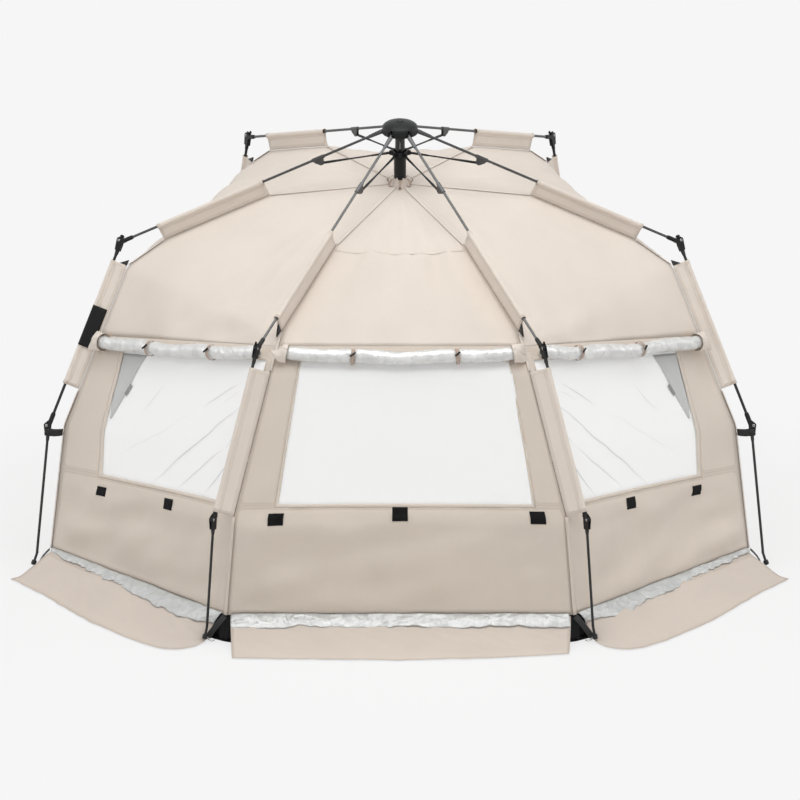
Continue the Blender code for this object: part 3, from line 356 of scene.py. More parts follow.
def clothMaterial(title, colour, threads=900.0, stitches=True, spread=0.05, roughness=0.82, **sockets):
    material, tree, shader = newMaterial(title, roughness, **sockets)
    mottle = placeGroup(tree, "mottle", Scale=2.6, Fine=60.0)
    weave = placeGroup(tree, "weave", Threads=threads)
    tone = mathNode(tree, "MULTIPLY_ADD", mottle["Grain"], 0.25, mottle["Tone"])
    low, high = shaded(colour, 1 - spread), shaded(colour, 1 + spread * 0.4)
    base = colourRamp(tree, tone, [(0.35, low), (0.85, high)])
    height = mathNode(tree, "MULTIPLY", weave["Height"], 0.5)
    if stitches:
        seam = placeGroup(tree, "stitch")
        base = addNode(tree, "Mix", {"data_type": "RGBA", "blend_type": "MULTIPLY"},
                       {7: (0.80, 0.77, 0.74, 1.0)}, {0: seam["Mask"], 6: base})[2]
        height = mathNode(tree, "ADD", height, seam["Height"])
    tree.links.new(base, shader.inputs["Base Color"])
    bumpInto(tree, shader, height, 0.35, 0.0004)
    return material


def crumpleMaterial(title, colour, scale, depth, roughness, **sockets):
    material, tree, shader = newMaterial(title, roughness, **sockets)
    crumple = placeGroup(tree, "crumple", Scale=scale)
    # Painted shade on the low facets and painted highlight on the high ones
    base = colourRamp(tree, crumple["Mask"], [(0.2, shaded(colour, 0.90)), (0.8, shaded(colour, 1.06))])
    tree.links.new(base, shader.inputs["Base Color"])
    bumpInto(tree, shader, crumple["Height"], 0.9, depth)
    return material


# Hard finishes: size of the mottle and grain, tones along it, spread of roughness and bump
hardKinds = {
    "moulded": {"scale": 22.0, "fine": 900.0, "tones": ((0.3, 0.75), (0.75, 1.25)), "rough": (-0.08, 0.12),
                "bump": 0.4, "depth": 0.00012},
    "hooked": {"scale": 22.0, "fine": 2200.0, "tones": ((0.3, 0.5), (0.75, 1.5)), "rough": (-0.08, 0.12),
               "bump": 0.4, "depth": 0.0006},
    "painted": {"scale": 22.0, "fine": 500.0, "tones": ((0.3, 0.75), (0.75, 1.25)), "rough": (-0.08, 0.12),
                "bump": 0.4, "depth": 0.00012},
    "drawn": {"scale": 14.0, "fine": 320.0, "tones": ((0.3, 0.85), (0.8, 1.12)), "rough": (-0.07, 0.14),
              "bump": 0.2, "depth": 0.00006},
}


def hardMaterial(title, kind, colour, roughness, **sockets):
    values = hardKinds[kind]
    material, tree, shader = newMaterial(title, roughness, **sockets)
    mottle = placeGroup(tree, "mottle", Scale=values["scale"], Fine=values["fine"])
    tones = [(place, shaded(colour, share)) for place, share in values["tones"]]
    base = colourRamp(tree, mottle["Tone"], tones)
    tree.links.new(base, shader.inputs["Base Color"])
    low, high = values["rough"]
    rough = addNode(tree, "MapRange", values={"To Min": roughness + low, "To Max": roughness + high},
                    links={"Value": mottle["Grain"]})["Result"]
    tree.links.new(rough, shader.inputs["Roughness"])
    bumpInto(tree, shader, mottle["Grain"], values["bump"], values["depth"])
    return material


def netMaterial(title, colour, flip=None):
    # Fine knitted net with a painted glow: its emission, in its own colour, lifts it out of the shade; flip 0
    # or 1 adds the creases of the left or the right window, with painted shade along them
    material, tree, shader = newMaterial(title, 0.9, Sheen_Weight=0.2, Emission_Strength=0.18)
    uv = addNode(tree, "UVMap", {"uv_map": "UVMap"})["UV"]
    eyes = addNode(tree, "TexVoronoi", {"feature": "F1"}, {"Scale": 420.0, "Randomness": 0.12},
                   {"Vector": uv})
    height = addNode(tree, "MapRange", values={"From Min": 0.12, "From Max": 0.34},
                     links={"Value": eyes["Distance"]})["Result"]
    base = colourRamp(tree, height, [(0.0, shaded(colour, 0.93)), (1.0, colour)])
    if flip is not None:
        crease = placeGroup(tree, "crease", Flip=flip)
        # Painted shade of the creases: dark grey mixed into the net's colour
        base = addNode(tree, "Mix", {"data_type": "RGBA"}, {7: (0.36, 0.37, 0.38, 1.0)},
                       {0: crease["Mask"], 6: base})[2]
        height = mathNode(tree, "MULTIPLY_ADD", crease["Height"], 5.0, height)
    tree.links.new(base, shader.inputs["Base Color"])
    # Painted light: the net glows in its own colour
    tree.links.new(base, shader.inputs["Emission Color"])
    bumpInto(tree, shader, height, 0.4, 0.0005)
    return material


sandCloth = clothMaterial("sandPolyester", (0.80, 0.715, 0.635), Sheen_Weight=0.25, Specular_IOR_Level=0.35)
# Painted shade: the walls take a darker copy of the sand polyester
wallCloth = clothMaterial("sandPolyesterWallShade", (0.745, 0.656, 0.568), Sheen_Weight=0.25,
                          Specular_IOR_Level=0.35)
# Painted shade: the flaps take a still darker copy of the sand polyester
flapCloth = clothMaterial("sandPolyesterFlapShade", (0.695, 0.612, 0.540), Sheen_Weight=0.2, Specular_IOR_Level=0.3)
tieTape = clothMaterial("tieTape", (0.52, 0.40, 0.33), threads=400.0, stitches=False, spread=0.15,
                        roughness=0.85)
sheetCloth = clothMaterial("groundSheetCloth", (0.009, 0.009, 0.0095), threads=500.0, stitches=False,
                           spread=0.3, roughness=0.65, Specular_IOR_Level=0.2)
webbing = clothMaterial("blackWebbing", (0.009, 0.009, 0.0095), threads=320.0, stitches=False, spread=0.3,
                        roughness=0.7, Sheen_Weight=0.15)
revealCloth = clothMaterial("silverReveal", (0.60, 0.605, 0.595), threads=700.0, stitches=False, spread=0.06,
                            roughness=0.6)
tabCloth = clothMaterial("greyTab", (0.30, 0.30, 0.295), threads=500.0, stitches=False, spread=0.1,
                         roughness=0.7)
innerCoat = crumpleMaterial("silverInnerCoat", (0.73, 0.725, 0.70), 11.0, 0.0006, 0.46, Metallic=0.25)
silverFoil = crumpleMaterial("silverRollCloth", (0.77, 0.77, 0.755), 24.0, 0.0040, 0.34, Metallic=0.30)
stripFoil = crumpleMaterial("silverStripCloth", (0.61, 0.62, 0.61), 26.0, 0.0034, 0.42, Metallic=0.3)
netColour = (0.87, 0.87, 0.865)
netCloths = {"front": netMaterial("whiteNet", netColour),
             "front_left": netMaterial("whiteNetLeft", netColour, 0.0),
             "front_right": netMaterial("whiteNetRight", netColour, 1.0)}
hookTape = hardMaterial("hookTape", "hooked", (0.008, 0.008, 0.0085), 0.9, Specular_IOR_Level=0.2)
blackPlastic = hardMaterial("blackMouldedPlastic", "moulded", (0.009, 0.0095, 0.010), 0.38,
                            Specular_IOR_Level=0.24)
postPaint = hardMaterial("blackPaintedPost", "painted", (0.014, 0.015, 0.015), 0.30, Metallic=0.1)
tubeSteel = hardMaterial("greyTubeSteel", "drawn", (0.095, 0.096, 0.098), 0.24, Metallic=0.8)
legSteel = hardMaterial("darkLegSteel", "drawn", (0.026, 0.027, 0.028), 0.30, Metallic=0.5)
strutSteel = hardMaterial("darkStrutSteel", "drawn", (0.020, 0.021, 0.022), 0.34, Metallic=0.5)
rivetSteel = hardMaterial("rivetSteel", "drawn", (0.62, 0.62, 0.61), 0.25, Metallic=0.95)

# Slot of each new finish, as a table and its reverse
slotFinishes = {"sand_cloth": (sandCloth, wallCloth, flapCloth, tieTape), "white_mesh": netCloths.values(),
                "silver_cloth": (silverFoil, stripFoil, revealCloth, tabCloth),
                "black_sheet": (sheetCloth, webbing, hookTape), "black_plastic": (blackPlastic,),
                "grey_steel": (rivetSteel,)}
slotNames = {material.name: slot for slot, finishes in slotFinishes.items() for material in finishes}
print("materials made")

nodeLooks = {"hub_cap": blackPlastic, "hub_body": blackPlastic, "runner": blackPlastic,
             "post_tube": postPaint, "arm_": tubeSteel, "middle_pole_": legSteel, "lower_leg_": legSteel,
             "strut_": strutSteel, "shoulder_joint_": blackPlastic, "knee_joint_": blackPlastic}
for nodeName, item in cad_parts.items():
    for start, material in nodeLooks.items():
        if nodeName.startswith(start):
            item.data.materials.clear()
            item.data.materials.append(material)

# Piece makers
sinking = []
cutAreas = {}
handNames = {-1: "near", 1: "far"}


def finishPiece(name, shape, materials, body):
    mesh = bpy.data.meshes.new(name)
    shape.to_mesh(mesh)
    shape.free()
    item = bpy.data.objects.new(name, mesh)
    bpy.context.scene.collection.objects.link(item)
    for material in materials:
        mesh.materials.append(material)
    for face in mesh.polygons:
        face.use_smooth = True
    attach(item, body)
    if body == "tent":
        sinking.append(item)
    return item


def finishCloth(name, shape, facing, materials, body, thickness):
    # Turns the cut's faces outwards, keeps its area and gives it a thickness
    shape.normal_update()
    if sum(face.normal.dot(Vector(facing)) for face in shape.faces) < 0:
        bmesh.ops.reverse_faces(shape, faces=shape.faces)
    cutAreas[name] = sum(face.calc_area() for face in shape.faces)
    item = finishPiece(name, shape, materials, body)
    shell = item.modifiers.new("thickness", "SOLIDIFY")
    shell.thickness, shell.offset = thickness, -1.0
    shell.material_offset = len(materials) - 1
    shell.material_offset_rim = 0
    return item


def clothPiece(name, columns, rows, place, facing, materials, body="tent", thickness=0.0011, size=(1.0, 1.0),
               hole=None, seams=None, wrap=False):
    # A cut of cloth: an even grid whose points are moved to their place
    shape = bmesh.new()
    uv = shape.loops.layers.uv.new("UVMap")
    away = shape.verts.layers.float.new("seamDistance")
    across, down = len(columns) - 1, len(rows) - 1
    bmesh.ops.create_grid(shape, x_segments=across, y_segments=down, size=0.5)
    spots = {point: (columns[round((point.co.x + 0.5) * across)], rows[round((point.co.y + 0.5) * down)])
             for point in shape.verts}
    if hole:
        cut = [face for face in shape.faces
               if hole(*(sum(spots[point][k] for point in face.verts) / 4 for k in (0, 1)))]
        bmesh.ops.delete(shape, geom=cut, context="FACES")
    for face in shape.faces:
        for loop in face.loops:
            u, v = spots[loop.vert]
            loop[uv].uv = (u * size[0], v * size[1])
    for point in shape.verts:
        point.co = Vector(place(*spots[point]))
        point[away] = seams(*spots[point]) if seams else 1.0
    if wrap:
        bmesh.ops.remove_doubles(shape, verts=shape.verts, dist=0.00001)
    return finishCloth(name, shape, facing, materials, body, thickness)


def declareSheet(item, width, length, held, restsOn):
    # The cut's flat size is its own width and length; the area is what the taut cloth covers
    area = cutAreas[item.name]
    stretch = max(1.0, math.sqrt(area * 1.001 / (width * length)))
    width, length = width * stretch, length * stretch
    area = max(area, 0.301 * width * length)
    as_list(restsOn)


def saveShape(shape, name, material, body):
    bmesh.ops.remove_doubles(shape, verts=shape.verts, dist=0.000001)
    bmesh.ops.recalc_face_normals(shape, faces=shape.faces)
    finishPiece(name, shape, [material], body)


def turnTo(place, first, second, third):
    turn = Matrix([list(row) for row in np.array([first, second, third]).T]).to_4x4()
    return Matrix.Translation(Vector(place)) @ turn


def boxPiece(name, size, matrix, material, body="tent", edge=0.0012):
    shape = bmesh.new()
    bmesh.ops.create_cube(shape, size=1.0)
    bmesh.ops.scale(shape, vec=size, verts=shape.verts)
    bmesh.ops.bevel(shape, geom=shape.edges[:], offset=edge, segments=3, affect="EDGES", profile=0.5,
                    material=-1)
    bmesh.ops.transform(shape, matrix=matrix, verts=shape.verts)
    saveShape(shape, name, material, body)


def wireRings(shape, points, firsts, seconds, radius, sides, closed):
    # Round wire along points; firsts and seconds are the two directions across it at each point
    angles = np.linspace(0, math.tau, sides, endpoint=False)
    rings = [[shape.verts.new(point + (one * math.cos(angle) + two * math.sin(angle)) * radius)
              for angle in angles] for point, one, two in zip(points, firsts, seconds)]
    for here, ahead in zip(rings, rings[1:] + (rings[:1] if closed else [])):
        for k in range(sides):
            shape.faces.new((here[k], here[(k + 1) % sides], ahead[(k + 1) % sides], ahead[k]))
    if not closed:
        shape.faces.new(rings[0])
        shape.faces.new(rings[-1])


# Seams, straps and tapes: a crown makes a low ridge, as a folded seam is
tapeSettings = {
    "roofSeam": {"width": 0.013, "thickness": 0.0009, "lift": 0.0016, "crown": 0.0016, "across": 4},
    "shoulderSeam": {"width": 0.013, "thickness": 0.0009, "lift": 0.0016, "crown": 0.0016, "across": 4},
    "wallSeam": {"width": 0.015, "thickness": 0.0009, "lift": 0.0016, "crown": 0.0016, "across": 4},
    "eaveSeam": {"width": 0.014, "thickness": 0.0009, "lift": 0.0016, "crown": 0.0014, "across": 4},
    "crossSeam": {"width": 0.010, "thickness": 0.0008, "lift": 0.0008, "crown": 0.0010, "across": 4},
    "doorTape": {"width": 0.026, "thickness": 0.0009, "lift": 0.0013, "crown": 0.0006, "across": 4},
    "doorZip": {"width": 0.006, "thickness": 0.0012, "lift": 0.0026, "crown": 0.0008, "across": 3},
    "kneeStrap": {"width": 0.025, "thickness": 0.0013, "lift": 0.0, "crown": 0.0, "across": 6},
    "footStrap": {"width": 0.022, "thickness": 0.0014, "lift": 0.002, "crown": 0.0, "across": 5},
    "apexTape": {"width": 0.010, "thickness": 0.0012, "lift": 0.0, "crown": 0.0, "across": 3},
}


def buildTape(name, points, normal, material, body="tent"):
    values = tapeSettings[name.split("_")[0]]
    width = values["width"]
    marks = np.concatenate([[0.0], np.cumsum([np.linalg.norm(b - a) for a, b in zip(points, points[1:])])])
    total = marks[-1]

    def line(distance):
        return np.array([np.interp(distance, marks, [p[k] for p in points]) for k in range(3)])

    def place(u, v):
        ahead = unit(line(min(total, v * total + 0.01)) - line(max(0.0, v * total - 0.01)))
        side = unit(np.cross(ahead, normal))
        lift = values["lift"] + values["crown"] * math.sin(math.pi * u)
        return line(v * total) + side * width * (u - 0.5) + unit(np.cross(side, ahead)) * lift

    rows = max(4, int(total / 0.022))
    clothPiece(name, even(values["across"]), even(rows), place, normal, [material], body=body,
               thickness=values["thickness"], size=(width, total))


# Roof
roofSettings = {"columns": 34, "rows": 46, "sag": 0.014, "trim": 0.0012, "softReach": 0.10, "fold": 0.015,
                "foldScale": 9.0, "seamLap": 0.0012, "puckerAt": 0.72, "puckerReach": 0.07,
                "puckerRate": 110, "puckerDepth": 0.0030}


def gorePoint(panel, u, v):
    near, far = legsOf(panel)
    ends = [leg.atHeight(leg.size["seam"] - roofSettings["seamLap"]) for leg in (near, far)]
    marks = [[*leg.marks[:3], end] for leg, end in zip((near, far), ends)]
    longer = marks[0] if ends[0] >= ends[1] else marks[1]
    distance, other = (float(np.interp(v * longer[-1], longer, row)) for row in marks)
    start, end = near.ribAt(distance), far.ribAt(other)
    trim = unit(end - start) * roofSettings["trim"]
    straight = (start + trim) + (end - start - 2 * trim) * u
    middle = min(1.0, 4 * u * (1 - u))
    reach = roofSettings["softReach"] * middle
    soft = near.softRibAt(distance, reach) * (1 - u) + far.softRibAt(other, reach) * u
    return straight + (soft - straight) * (middle * math.sin(math.pi * min(1.0, v)) ** 0.5)


def panelOutward(panel):
    near, far = legsOf(panel)
    across = unit((far.knots[-1] - near.knots[-1]) * onPlan)
    return np.array([across[1], -across[0], 0.0])


def goreNormal(panel):
    return unit(panelOutward(panel) * 0.65 + upward * 0.75)


def goreDrop(panel, u, v):
    # How far the cloth lies inside the straight line between its ribs: sag, folds and small puckers
    seed = seedOf(panel, 7.3)
    sag = roofSettings["sag"] * (4 * u * (1 - u)) * math.sin(math.pi * v)
    edge = min(1.0, min(u, 1 - u) * 9) * min(1.0, v * 2.0) ** 1.6 * min(1.0, (1 - v) * 9)
    lengthwise = wobble(u * roofSettings["foldScale"] + seed, v * 1.6, seed)
    slanting = wobble(u * 5 + v * 4 + seed, v * 3 - u * 3, seed * 2)
    pull = math.exp(-((v - roofSettings["puckerAt"]) / roofSettings["puckerReach"]) ** 2)
    pull *= math.exp(-u * 7) + math.exp(-(1 - u) * 7)
    wave = math.sin(v * roofSettings["puckerRate"] + 9 * wobble(u * 6, v * 5, seed))
    fold = lengthwise * roofSettings["fold"] + slanting * roofSettings["fold"] * 0.8
    return sag + edge * (fold + pull * wave * roofSettings["puckerDepth"])


def goreSurface(panel, u, v):
    return gorePoint(panel, u, v) - goreNormal(panel) * goreDrop(panel, u, v)


def buildGore(panel):
    near, far = legsOf(panel)
    ends = [leg.atHeight(leg.size["seam"]) for leg in (near, far)]
    length = max(ends)
    width = np.linalg.norm(near.ribAt(ends[0]) - far.ribAt(ends[1]))

    def seams(u, v):
        local = width * (0.06 + 0.94 * min(1.0, v * 1.5))
        return min(u * local, (1 - u) * local, (1 - v) * length)

    item = clothPiece(f"roofCloth_{panel}", even(roofSettings["columns"]), even(roofSettings["rows"]),
                      lambda u, v: goreSurface(panel, u, v), goreNormal(panel), [sandCloth, innerCoat],
                      size=(width, length), seams=seams)
    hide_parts(f"roof_{panel}")
    declareSheet(item, width, length, "stretched", [f"arm_{name}" for name in panelLegs[panel]])


# Walls: share across; level 0 at the roof seam, 1 at the sill and 2 at the base
wallSettings = {"sag": 0.016, "trim": 0.0012, "window": (0.12, 0.88), "windowTop": 0.07, "sill": 0.92,
                "seamGap": 0.0012, "fold": 0.015, "pleat": 0.003, "sillStitch": 0.012}
windowEdges = {"front": ((0.106, 0.932), (0.126, 0.908)), "front_left": ((0.160, 0.965), (0.230, 0.965)),
               "front_right": ((0.035, 0.840), (0.035, 0.770))}


def wallPoint(panel, share, level):
    ends = []
    for leg in legsOf(panel):
        heights = (leg.size["seam"] - wallSettings["seamGap"], leg.size["sill"], leg.size["base"])
        ends.append(leg.ribAt(leg.atHeight(float(np.interp(level, (0, 1, 2), heights)))))
    trim = unit(ends[1] - ends[0]) * wallSettings["trim"]
    start, end = ends[0] + trim, ends[1] - trim
    bulge = 4 * share * (1 - share) * wallSettings["sag"] * math.sin(math.pi * level / 2)
    return start + (end - start) * share - panelOutward(panel) * bulge


def windowShare(panel, share, level):
    # Moves the even share across so that the window's sides stand where this panel has them
    if panel not in windowed:
        return share
    plain = wallSettings["window"]
    part = min(1.0, max(0.0, level / wallSettings["sill"]))
    sides = [top + (foot - top) * part for top, foot in zip(*windowEdges[panel])]
    fade = min(1.0, max(0.0, (2.0 - level) / (2.0 - wallSettings["sill"])))
    sides = [rest + (side - rest) * fade for rest, side in zip(plain, sides)]
    return float(np.interp(share, (0.0, *plain, 1.0), (0.0, *sides, 1.0)))


def wallNormal(panel, share, level):
    step = 0.02
    across = wallPoint(panel, share + step, level) - wallPoint(panel, share - step, level)
    down = wallPoint(panel, share, level + step) - wallPoint(panel, share, level - step)
    normal = unit(np.cross(across, down))
    return normal if normal @ panelOutward(panel) > 0 else -normal


def offWall(panel, share, level, lift):
    return wallPoint(panel, share, level) + wallNormal(panel, share, level) * lift


def wallWave(panel, share, level):
    # Soft folds of the wall; they die out at the ribs and round the window
    seed = seedOf(panel, 5.1)
    low, high = wallSettings["window"]
    edge = min(1.0, min(share, 1 - share) * 12) * min(1.0, level * 10) * min(1.0, (2 - level) * 14)
    upright = wobble(share * 14 + seed, level * 2.2, seed)
    slanting = wobble(share * 5 + level * 2.6 + seed, level * 2.6 - share * 1.5, seed * 3)
    wave = (upright * 0.5 + slanting * 1.3) * wallSettings["fold"]
    if panel in windowed:
        wave *= min(1.0, max(0.25, (level - 1.0) * 8, (low - share) * 20, (share - high) * 20))
    corner = sum(math.exp(-((share - side) ** 2 * 140 + (level - 1.0) ** 2 * 30)) for side in (low, high))
    return edge * (wave + corner * math.sin((share * 40 + level * 22)) * wallSettings["pleat"])


def buildWall(panel):
    low, high = wallSettings["window"]
    top, sill = wallSettings["windowTop"], wallSettings["sill"]
    columns, rows, hole = even(38), even(40, 0.0, 2.0), None
    if panel in windowed:
        columns = even(6, 0.0, low)[:-1] + even(30, low, high)[:-1] + even(6, high, 1.0)
        rows = even(3, 0.0, top)[:-1] + even(24, top, sill)[:-1] + even(18, sill, 2.0)

        def hole(u, v):
            return low < u < high and top < v < sill
    width = footWidth(panel)
    height = np.linalg.norm(wallPoint(panel, 0.5, 0.0) - wallPoint(panel, 0.5, 2.0))

    def place(u, v):
        u = windowShare(panel, u, v)
        return offWall(panel, u, v, wallWave(panel, u, v))

    def seams(u, v):
        edges = [u * width, (1 - u) * width, v * height / 2, (2 - v) * height / 2]
        if panel in windowed:
            aside = max(low - u, u - high) * width
            above = max(top - v, v - sill) * height / 2
            edges.append(max(aside, above, 0.0))
            edges.append(abs(v - sill - wallSettings["sillStitch"]) * height / 2)
        return min(edges)

    item = clothPiece(f"wallCloth_{panel}", columns, rows, place, panelOutward(panel), [wallCloth, innerCoat],
                      size=(width, height / 2), hole=hole, seams=seams)
    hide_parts(f"wall_{panel}")
    declareSheet(item, width, height, "stretched", [f"lower_leg_{name}" for name in panelLegs[panel]])


# Nets with their binding
netSettings = {"columns": 48, "rows": 32, "lap": 0.012, "back": 0.0046, "slack": 0.004, "thickness": 0.0009}
trimSettings = {"band": 0.011, "perSide": 14, "lift": 0.0009, "crown": 0.0012}


def buildNet(panel):
    low, high = wallSettings["window"]
    near = legsOf(panel)[0]
    width = footWidth(panel)
    height = near.size["seam"] - near.size["sill"]
    lapAcross, lapDown = netSettings["lap"] / width, netSettings["lap"] / height
    top, bottom = wallSettings["windowTop"] - lapDown, wallSettings["sill"] + lapDown

    def place(u, v):
        edge = min(1.0, min(u - low, high - u) * 16, (v - top) * 12, (bottom - v) * 12)
        soft = wobble(u * 3 + 3.0, v * 2 - 3.0, 0.0) * netSettings["slack"]
        back = netSettings["back"] - max(0.0, edge) * soft * 0.6
        return offWall(panel, windowShare(panel, u, v), v, -back)

    columns = even(netSettings["columns"], low - lapAcross, high + lapAcross)
    item = clothPiece(f"windowNet_{panel}", columns, even(netSettings["rows"], top, bottom), place,
                      panelOutward(panel), [netCloths[panel]], thickness=netSettings["thickness"],
                      size=(width, height))
    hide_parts(f"window_{panel}")
    declareSheet(item, width * (high - low), height * (bottom - top), "stretched", [f"wallCloth_{panel}"])


def buildWindowTrim(panel):
    # Folded binding sewn round the window, as one closed strip with mitred corners
    low, high = wallSettings["window"]
    top, sill = wallSettings["windowTop"], wallSettings["sill"]
    spans = footWidth(panel), np.linalg.norm(wallPoint(panel, 0.5, 0.0) - wallPoint(panel, 0.5, 1.0))
    corners = [(low, top), (high, top), (high, sill), (low, sill), (low, top)]
    growth = [(-1, -1), (1, -1), (1, 1), (-1, 1), (-1, -1)]

    def place(u, v):
        side = min(3, int(u * 4 + 1e-9))
        along = u * 4 - side
        out = []
        for k in (0, 1):
            corner = corners[side][k] + (corners[side + 1][k] - corners[side][k]) * along
            grow = growth[side][k] + (growth[side + 1][k] - growth[side][k]) * along
            out.append(corner + grow * trimSettings["band"] * v / spans[k])
        out[0] = windowShare(panel, *out)
        lift = trimSettings["lift"] + trimSettings["crown"] * math.sin(math.pi * v)
        return offWall(panel, *out, wallWave(panel, *out) + lift)

    clothPiece(f"windowTrim_{panel}", even(trimSettings["perSide"] * 4), even(3, -0.12, 1.0), place,
               panelOutward(panel), [wallCloth], size=(4.0, trimSettings["band"]), wrap=True)


# Silver inner side of the cover, a wedge in the upper outer corner of a side window: level, left and right
revealSettings = {"edge": ((0.10, 0.160, 0.300), (0.18, 0.170, 0.278), (0.36, 0.185, 0.252),
                           (0.54, 0.215, 0.222)),
                  "back": 0.0022, "tab": (0.262, 0.335), "tabSize": (0.016, 0.0022, 0.046), "lean": 21.314}


def buildReveal(panel):
    levels, lefts, rights = zip(*revealSettings["edge"])
    hand = 1 if panel == "front_left" else -1

    def sided(share):
        return share if hand > 0 else 1 - share

    def place(u, v):
        level = levels[0] + (levels[-1] - levels[0]) * v
        low, high = float(np.interp(level, levels, lefts)), float(np.interp(level, levels, rights))
        wave = 0.0010 * math.sin(u * 9 + v * 5)
        return offWall(panel, sided(low + (high - low) * u), level, -(revealSettings["back"] + wave))

    clothPiece(f"revealCloth_{panel}", even(10), even(24), place, panelOutward(panel), [revealCloth],
               thickness=0.0007, size=(0.12, 0.26))
    share, level = sided(revealSettings["tab"][0]), revealSettings["tab"][1]
    normal = wallNormal(panel, share, level)
    spot = wallPoint(panel, share, level)
    down = turned(unit(wallPoint(panel, share, level + 0.05) - spot), normal, -hand * revealSettings["lean"])
    boxPiece(f"revealTab_{panel}", revealSettings["tabSize"],
             turnTo(spot, unit(np.cross(normal, down)), normal, down), tabCloth, edge=0.0008)


# Sleeves over the arms and middle poles
sleeveSettings = {"slack": 0.0038, "around": 16, "up": 9, "along": 34, "flare": 0.0016, "lip": 0.16,
                  "lowAngle": 16, "seam": 0.002, "hem": 0.04, "wave": 0.0035, "mouth": 0.55}


def buildSleeve(name, body, fin, sleeve):
    # One piece of cloth folded over a pole and sewn together down to the rib
    inward, tube, share = sleeve["inward"], sleeve["tube"], sleeve["share"]
    radius = tube + sleeveSettings["slack"]
    side = unit(np.cross(sleeve["axis"], inward))
    length = sleeve["length"] * (share[1] - share[0])
    up, around = sleeveSettings["up"], sleeveSettings["around"]
    lowAngle = math.radians(sleeveSettings["lowAngle"])
    stations = [("near", step / up) for step in range(up)]
    stations += [("arc", step / around) for step in range(around + 1)]
    stations += [("far", 1 - (step + 1) / up) for step in range(up)]
    count = len(stations) - 1
    rise = fin - sleeveSettings["seam"] - radius * math.cos(lowAngle)

    def place(u, v):
        kind, part = stations[round(u * count)]
        centre = sleeve["pointAt"](share[0] + (share[1] - share[0]) * v)
        opening = sleeve["mouth"] * math.exp(-(1 - v) * 11)
        flare = 1 + sleeveSettings["lip"] * (math.exp(-v * 40) + math.exp(-(1 - v) * 40)) + opening
        if kind == "arc":
            angle = lowAngle + (math.tau - 2 * lowAngle) * part
            spoke = inward * math.cos(angle) - side * math.sin(angle)
            return centre + spoke * radius * (flare - opening * min(1.0, max(0.0, -2 * math.cos(angle))))
        wave = wobble(v * 7 + len(name) * 1.7, -len(name) * 1.7, part * 0.3) * sleeveSettings["wave"]
        hand = -1 if kind == "near" else 1
        depth = fin - sleeveSettings["seam"] - rise * part
        gap = sleeveSettings["flare"] + (radius * math.sin(lowAngle) - sleeveSettings["flare"]) * part ** 2
        return centre + inward * depth + side * (hand * gap * flare + wave * math.sin(math.pi * part))

    def seams(u, v):
        kind, part = stations[round(u * count)]
        edge = min(v, 1 - v) * length
        return min(edge, 1.0) if kind == "arc" else min(edge, part * rise, abs(1 - part) * rise + 0.004)

    width = 2 * fin + sleeveSettings["hem"]
    item = clothPiece(name, even(count), even(sleeveSettings["along"]), place, -inward, [sandCloth],
                      body=body, size=(width, length), seams=seams)
    declareSheet(item, width, length, "hung", [sleeve["pole"]])


def buildSleeves(legName):
    leg = legLines[legName]
    arm = {"pole": f"arm_{legName}", "pointAt": leg.armPoint, "inward": leg.armIn, "axis": leg.along,
           "tube": 0.005, "share": tentSizes["armSleeve"], "length": tentSizes["armLength"], "mouth": 0.0}
    pole = {"pole": f"middle_pole_{legName}", "pointAt": leg.polePoint, "inward": leg.poleIn,
            "axis": leg.pole, "tube": 0.0055, "share": leg.size["sleeve"], "length": leg.poleLength,
            "mouth": sleeveSettings["mouth"] if leg.kind == "front" else 0.0}
    buildSleeve(f"armSleeve_{legName}", f"arm_{legName}", leg.fin, arm)
    buildSleeve(f"poleSleeve_{legName}", f"middle_{legName}", leg.fin, pole)


def buildSeams():
    for legName, leg in legLines.items():
        marks = leg.marks
        outer = unit(leg.outward * 0.6 + upward * 0.8)
        for kind, start, end, count, normal, cloth in (
                ("roofSeam", marks[0] + 0.012, marks[1] - 0.004, 26, outer, sandCloth),
                ("shoulderSeam", marks[2] + 0.006, marks[3] - 0.006, 14, leg.outward, sandCloth),
                ("wallSeam", marks[4] + 0.006, marks[6], 26, leg.outward, wallCloth)):
            points = [leg.ribAt(distance) for distance in np.linspace(start, end, count)]
            buildTape(f"{kind}_{legName}", points, normal, cloth)
    for panel in panelLegs:
        if panel not in windowed:
            points = [wallPoint(panel, share, 0.0) for share in even(30, 0.02, 0.98)]
            buildTape(f"eaveSeam_{panel}", points, panelOutward(panel), sandCloth)


# Rolled window covers; the side rolls have a closed end only on their outer side
rollSettings = {"radius": 0.030, "turns": 2.6, "core": 0.012, "along": 150, "around": 64, "wound": 0.36,
                "ends": {"front": (0.035, 0.965), "front_left": (0.045, 0.945),
                         "front_right": (0.055, 0.955)},
                "closed": {"front": (0, 1), "front_left": (0,), "front_right": (1,)},
                "ties": {"front_left": (0.34, 0.72), "front": (0.30, 0.745), "front_right": (0.22, 0.60)}}
rollEndSettings = {"outer": {"inside": 0.032, "outside": 0.026, "twist": 0.0, "flat": 0.34},
                   "bunch": {"inside": 0.016, "outside": 0.034, "twist": 1.3, "flat": 0.16}}
tieSettings = {"half": 0.006, "seat": 0.92, "flat": 0.96, "toggle": (0.0065, 0.0055, 0.026), "edge": 0.0019,
               "lean": 0.9, "lift": 0.004}


def rollFrame(panel, share):
    # Middle line of a roll, with its face, up and across directions at a share across
    low, high = rollSettings["ends"][panel]
    level = wallSettings["windowTop"] * (0.75 + 0.3 * math.sin(math.pi * (share - low) / (high - low)))
    up = unit(wallPoint(panel, share, 0.0) - wallPoint(panel, share, wallSettings["windowTop"] * 3))
    across = unit(wallPoint(panel, high, 0.0) - wallPoint(panel, low, 0.0))
    face = unit(np.cross(across, up))
    face = face if face @ panelOutward(panel) > 0 else -face
    return wallPoint(panel, share, level) + face * (rollSettings["radius"] + 0.0012), face, up, across


def sharpFold(x):
    # Triangle wave between -1 and 1: folds with sharp creases
    return 4 * abs(x - math.floor(x + 0.5)) - 1


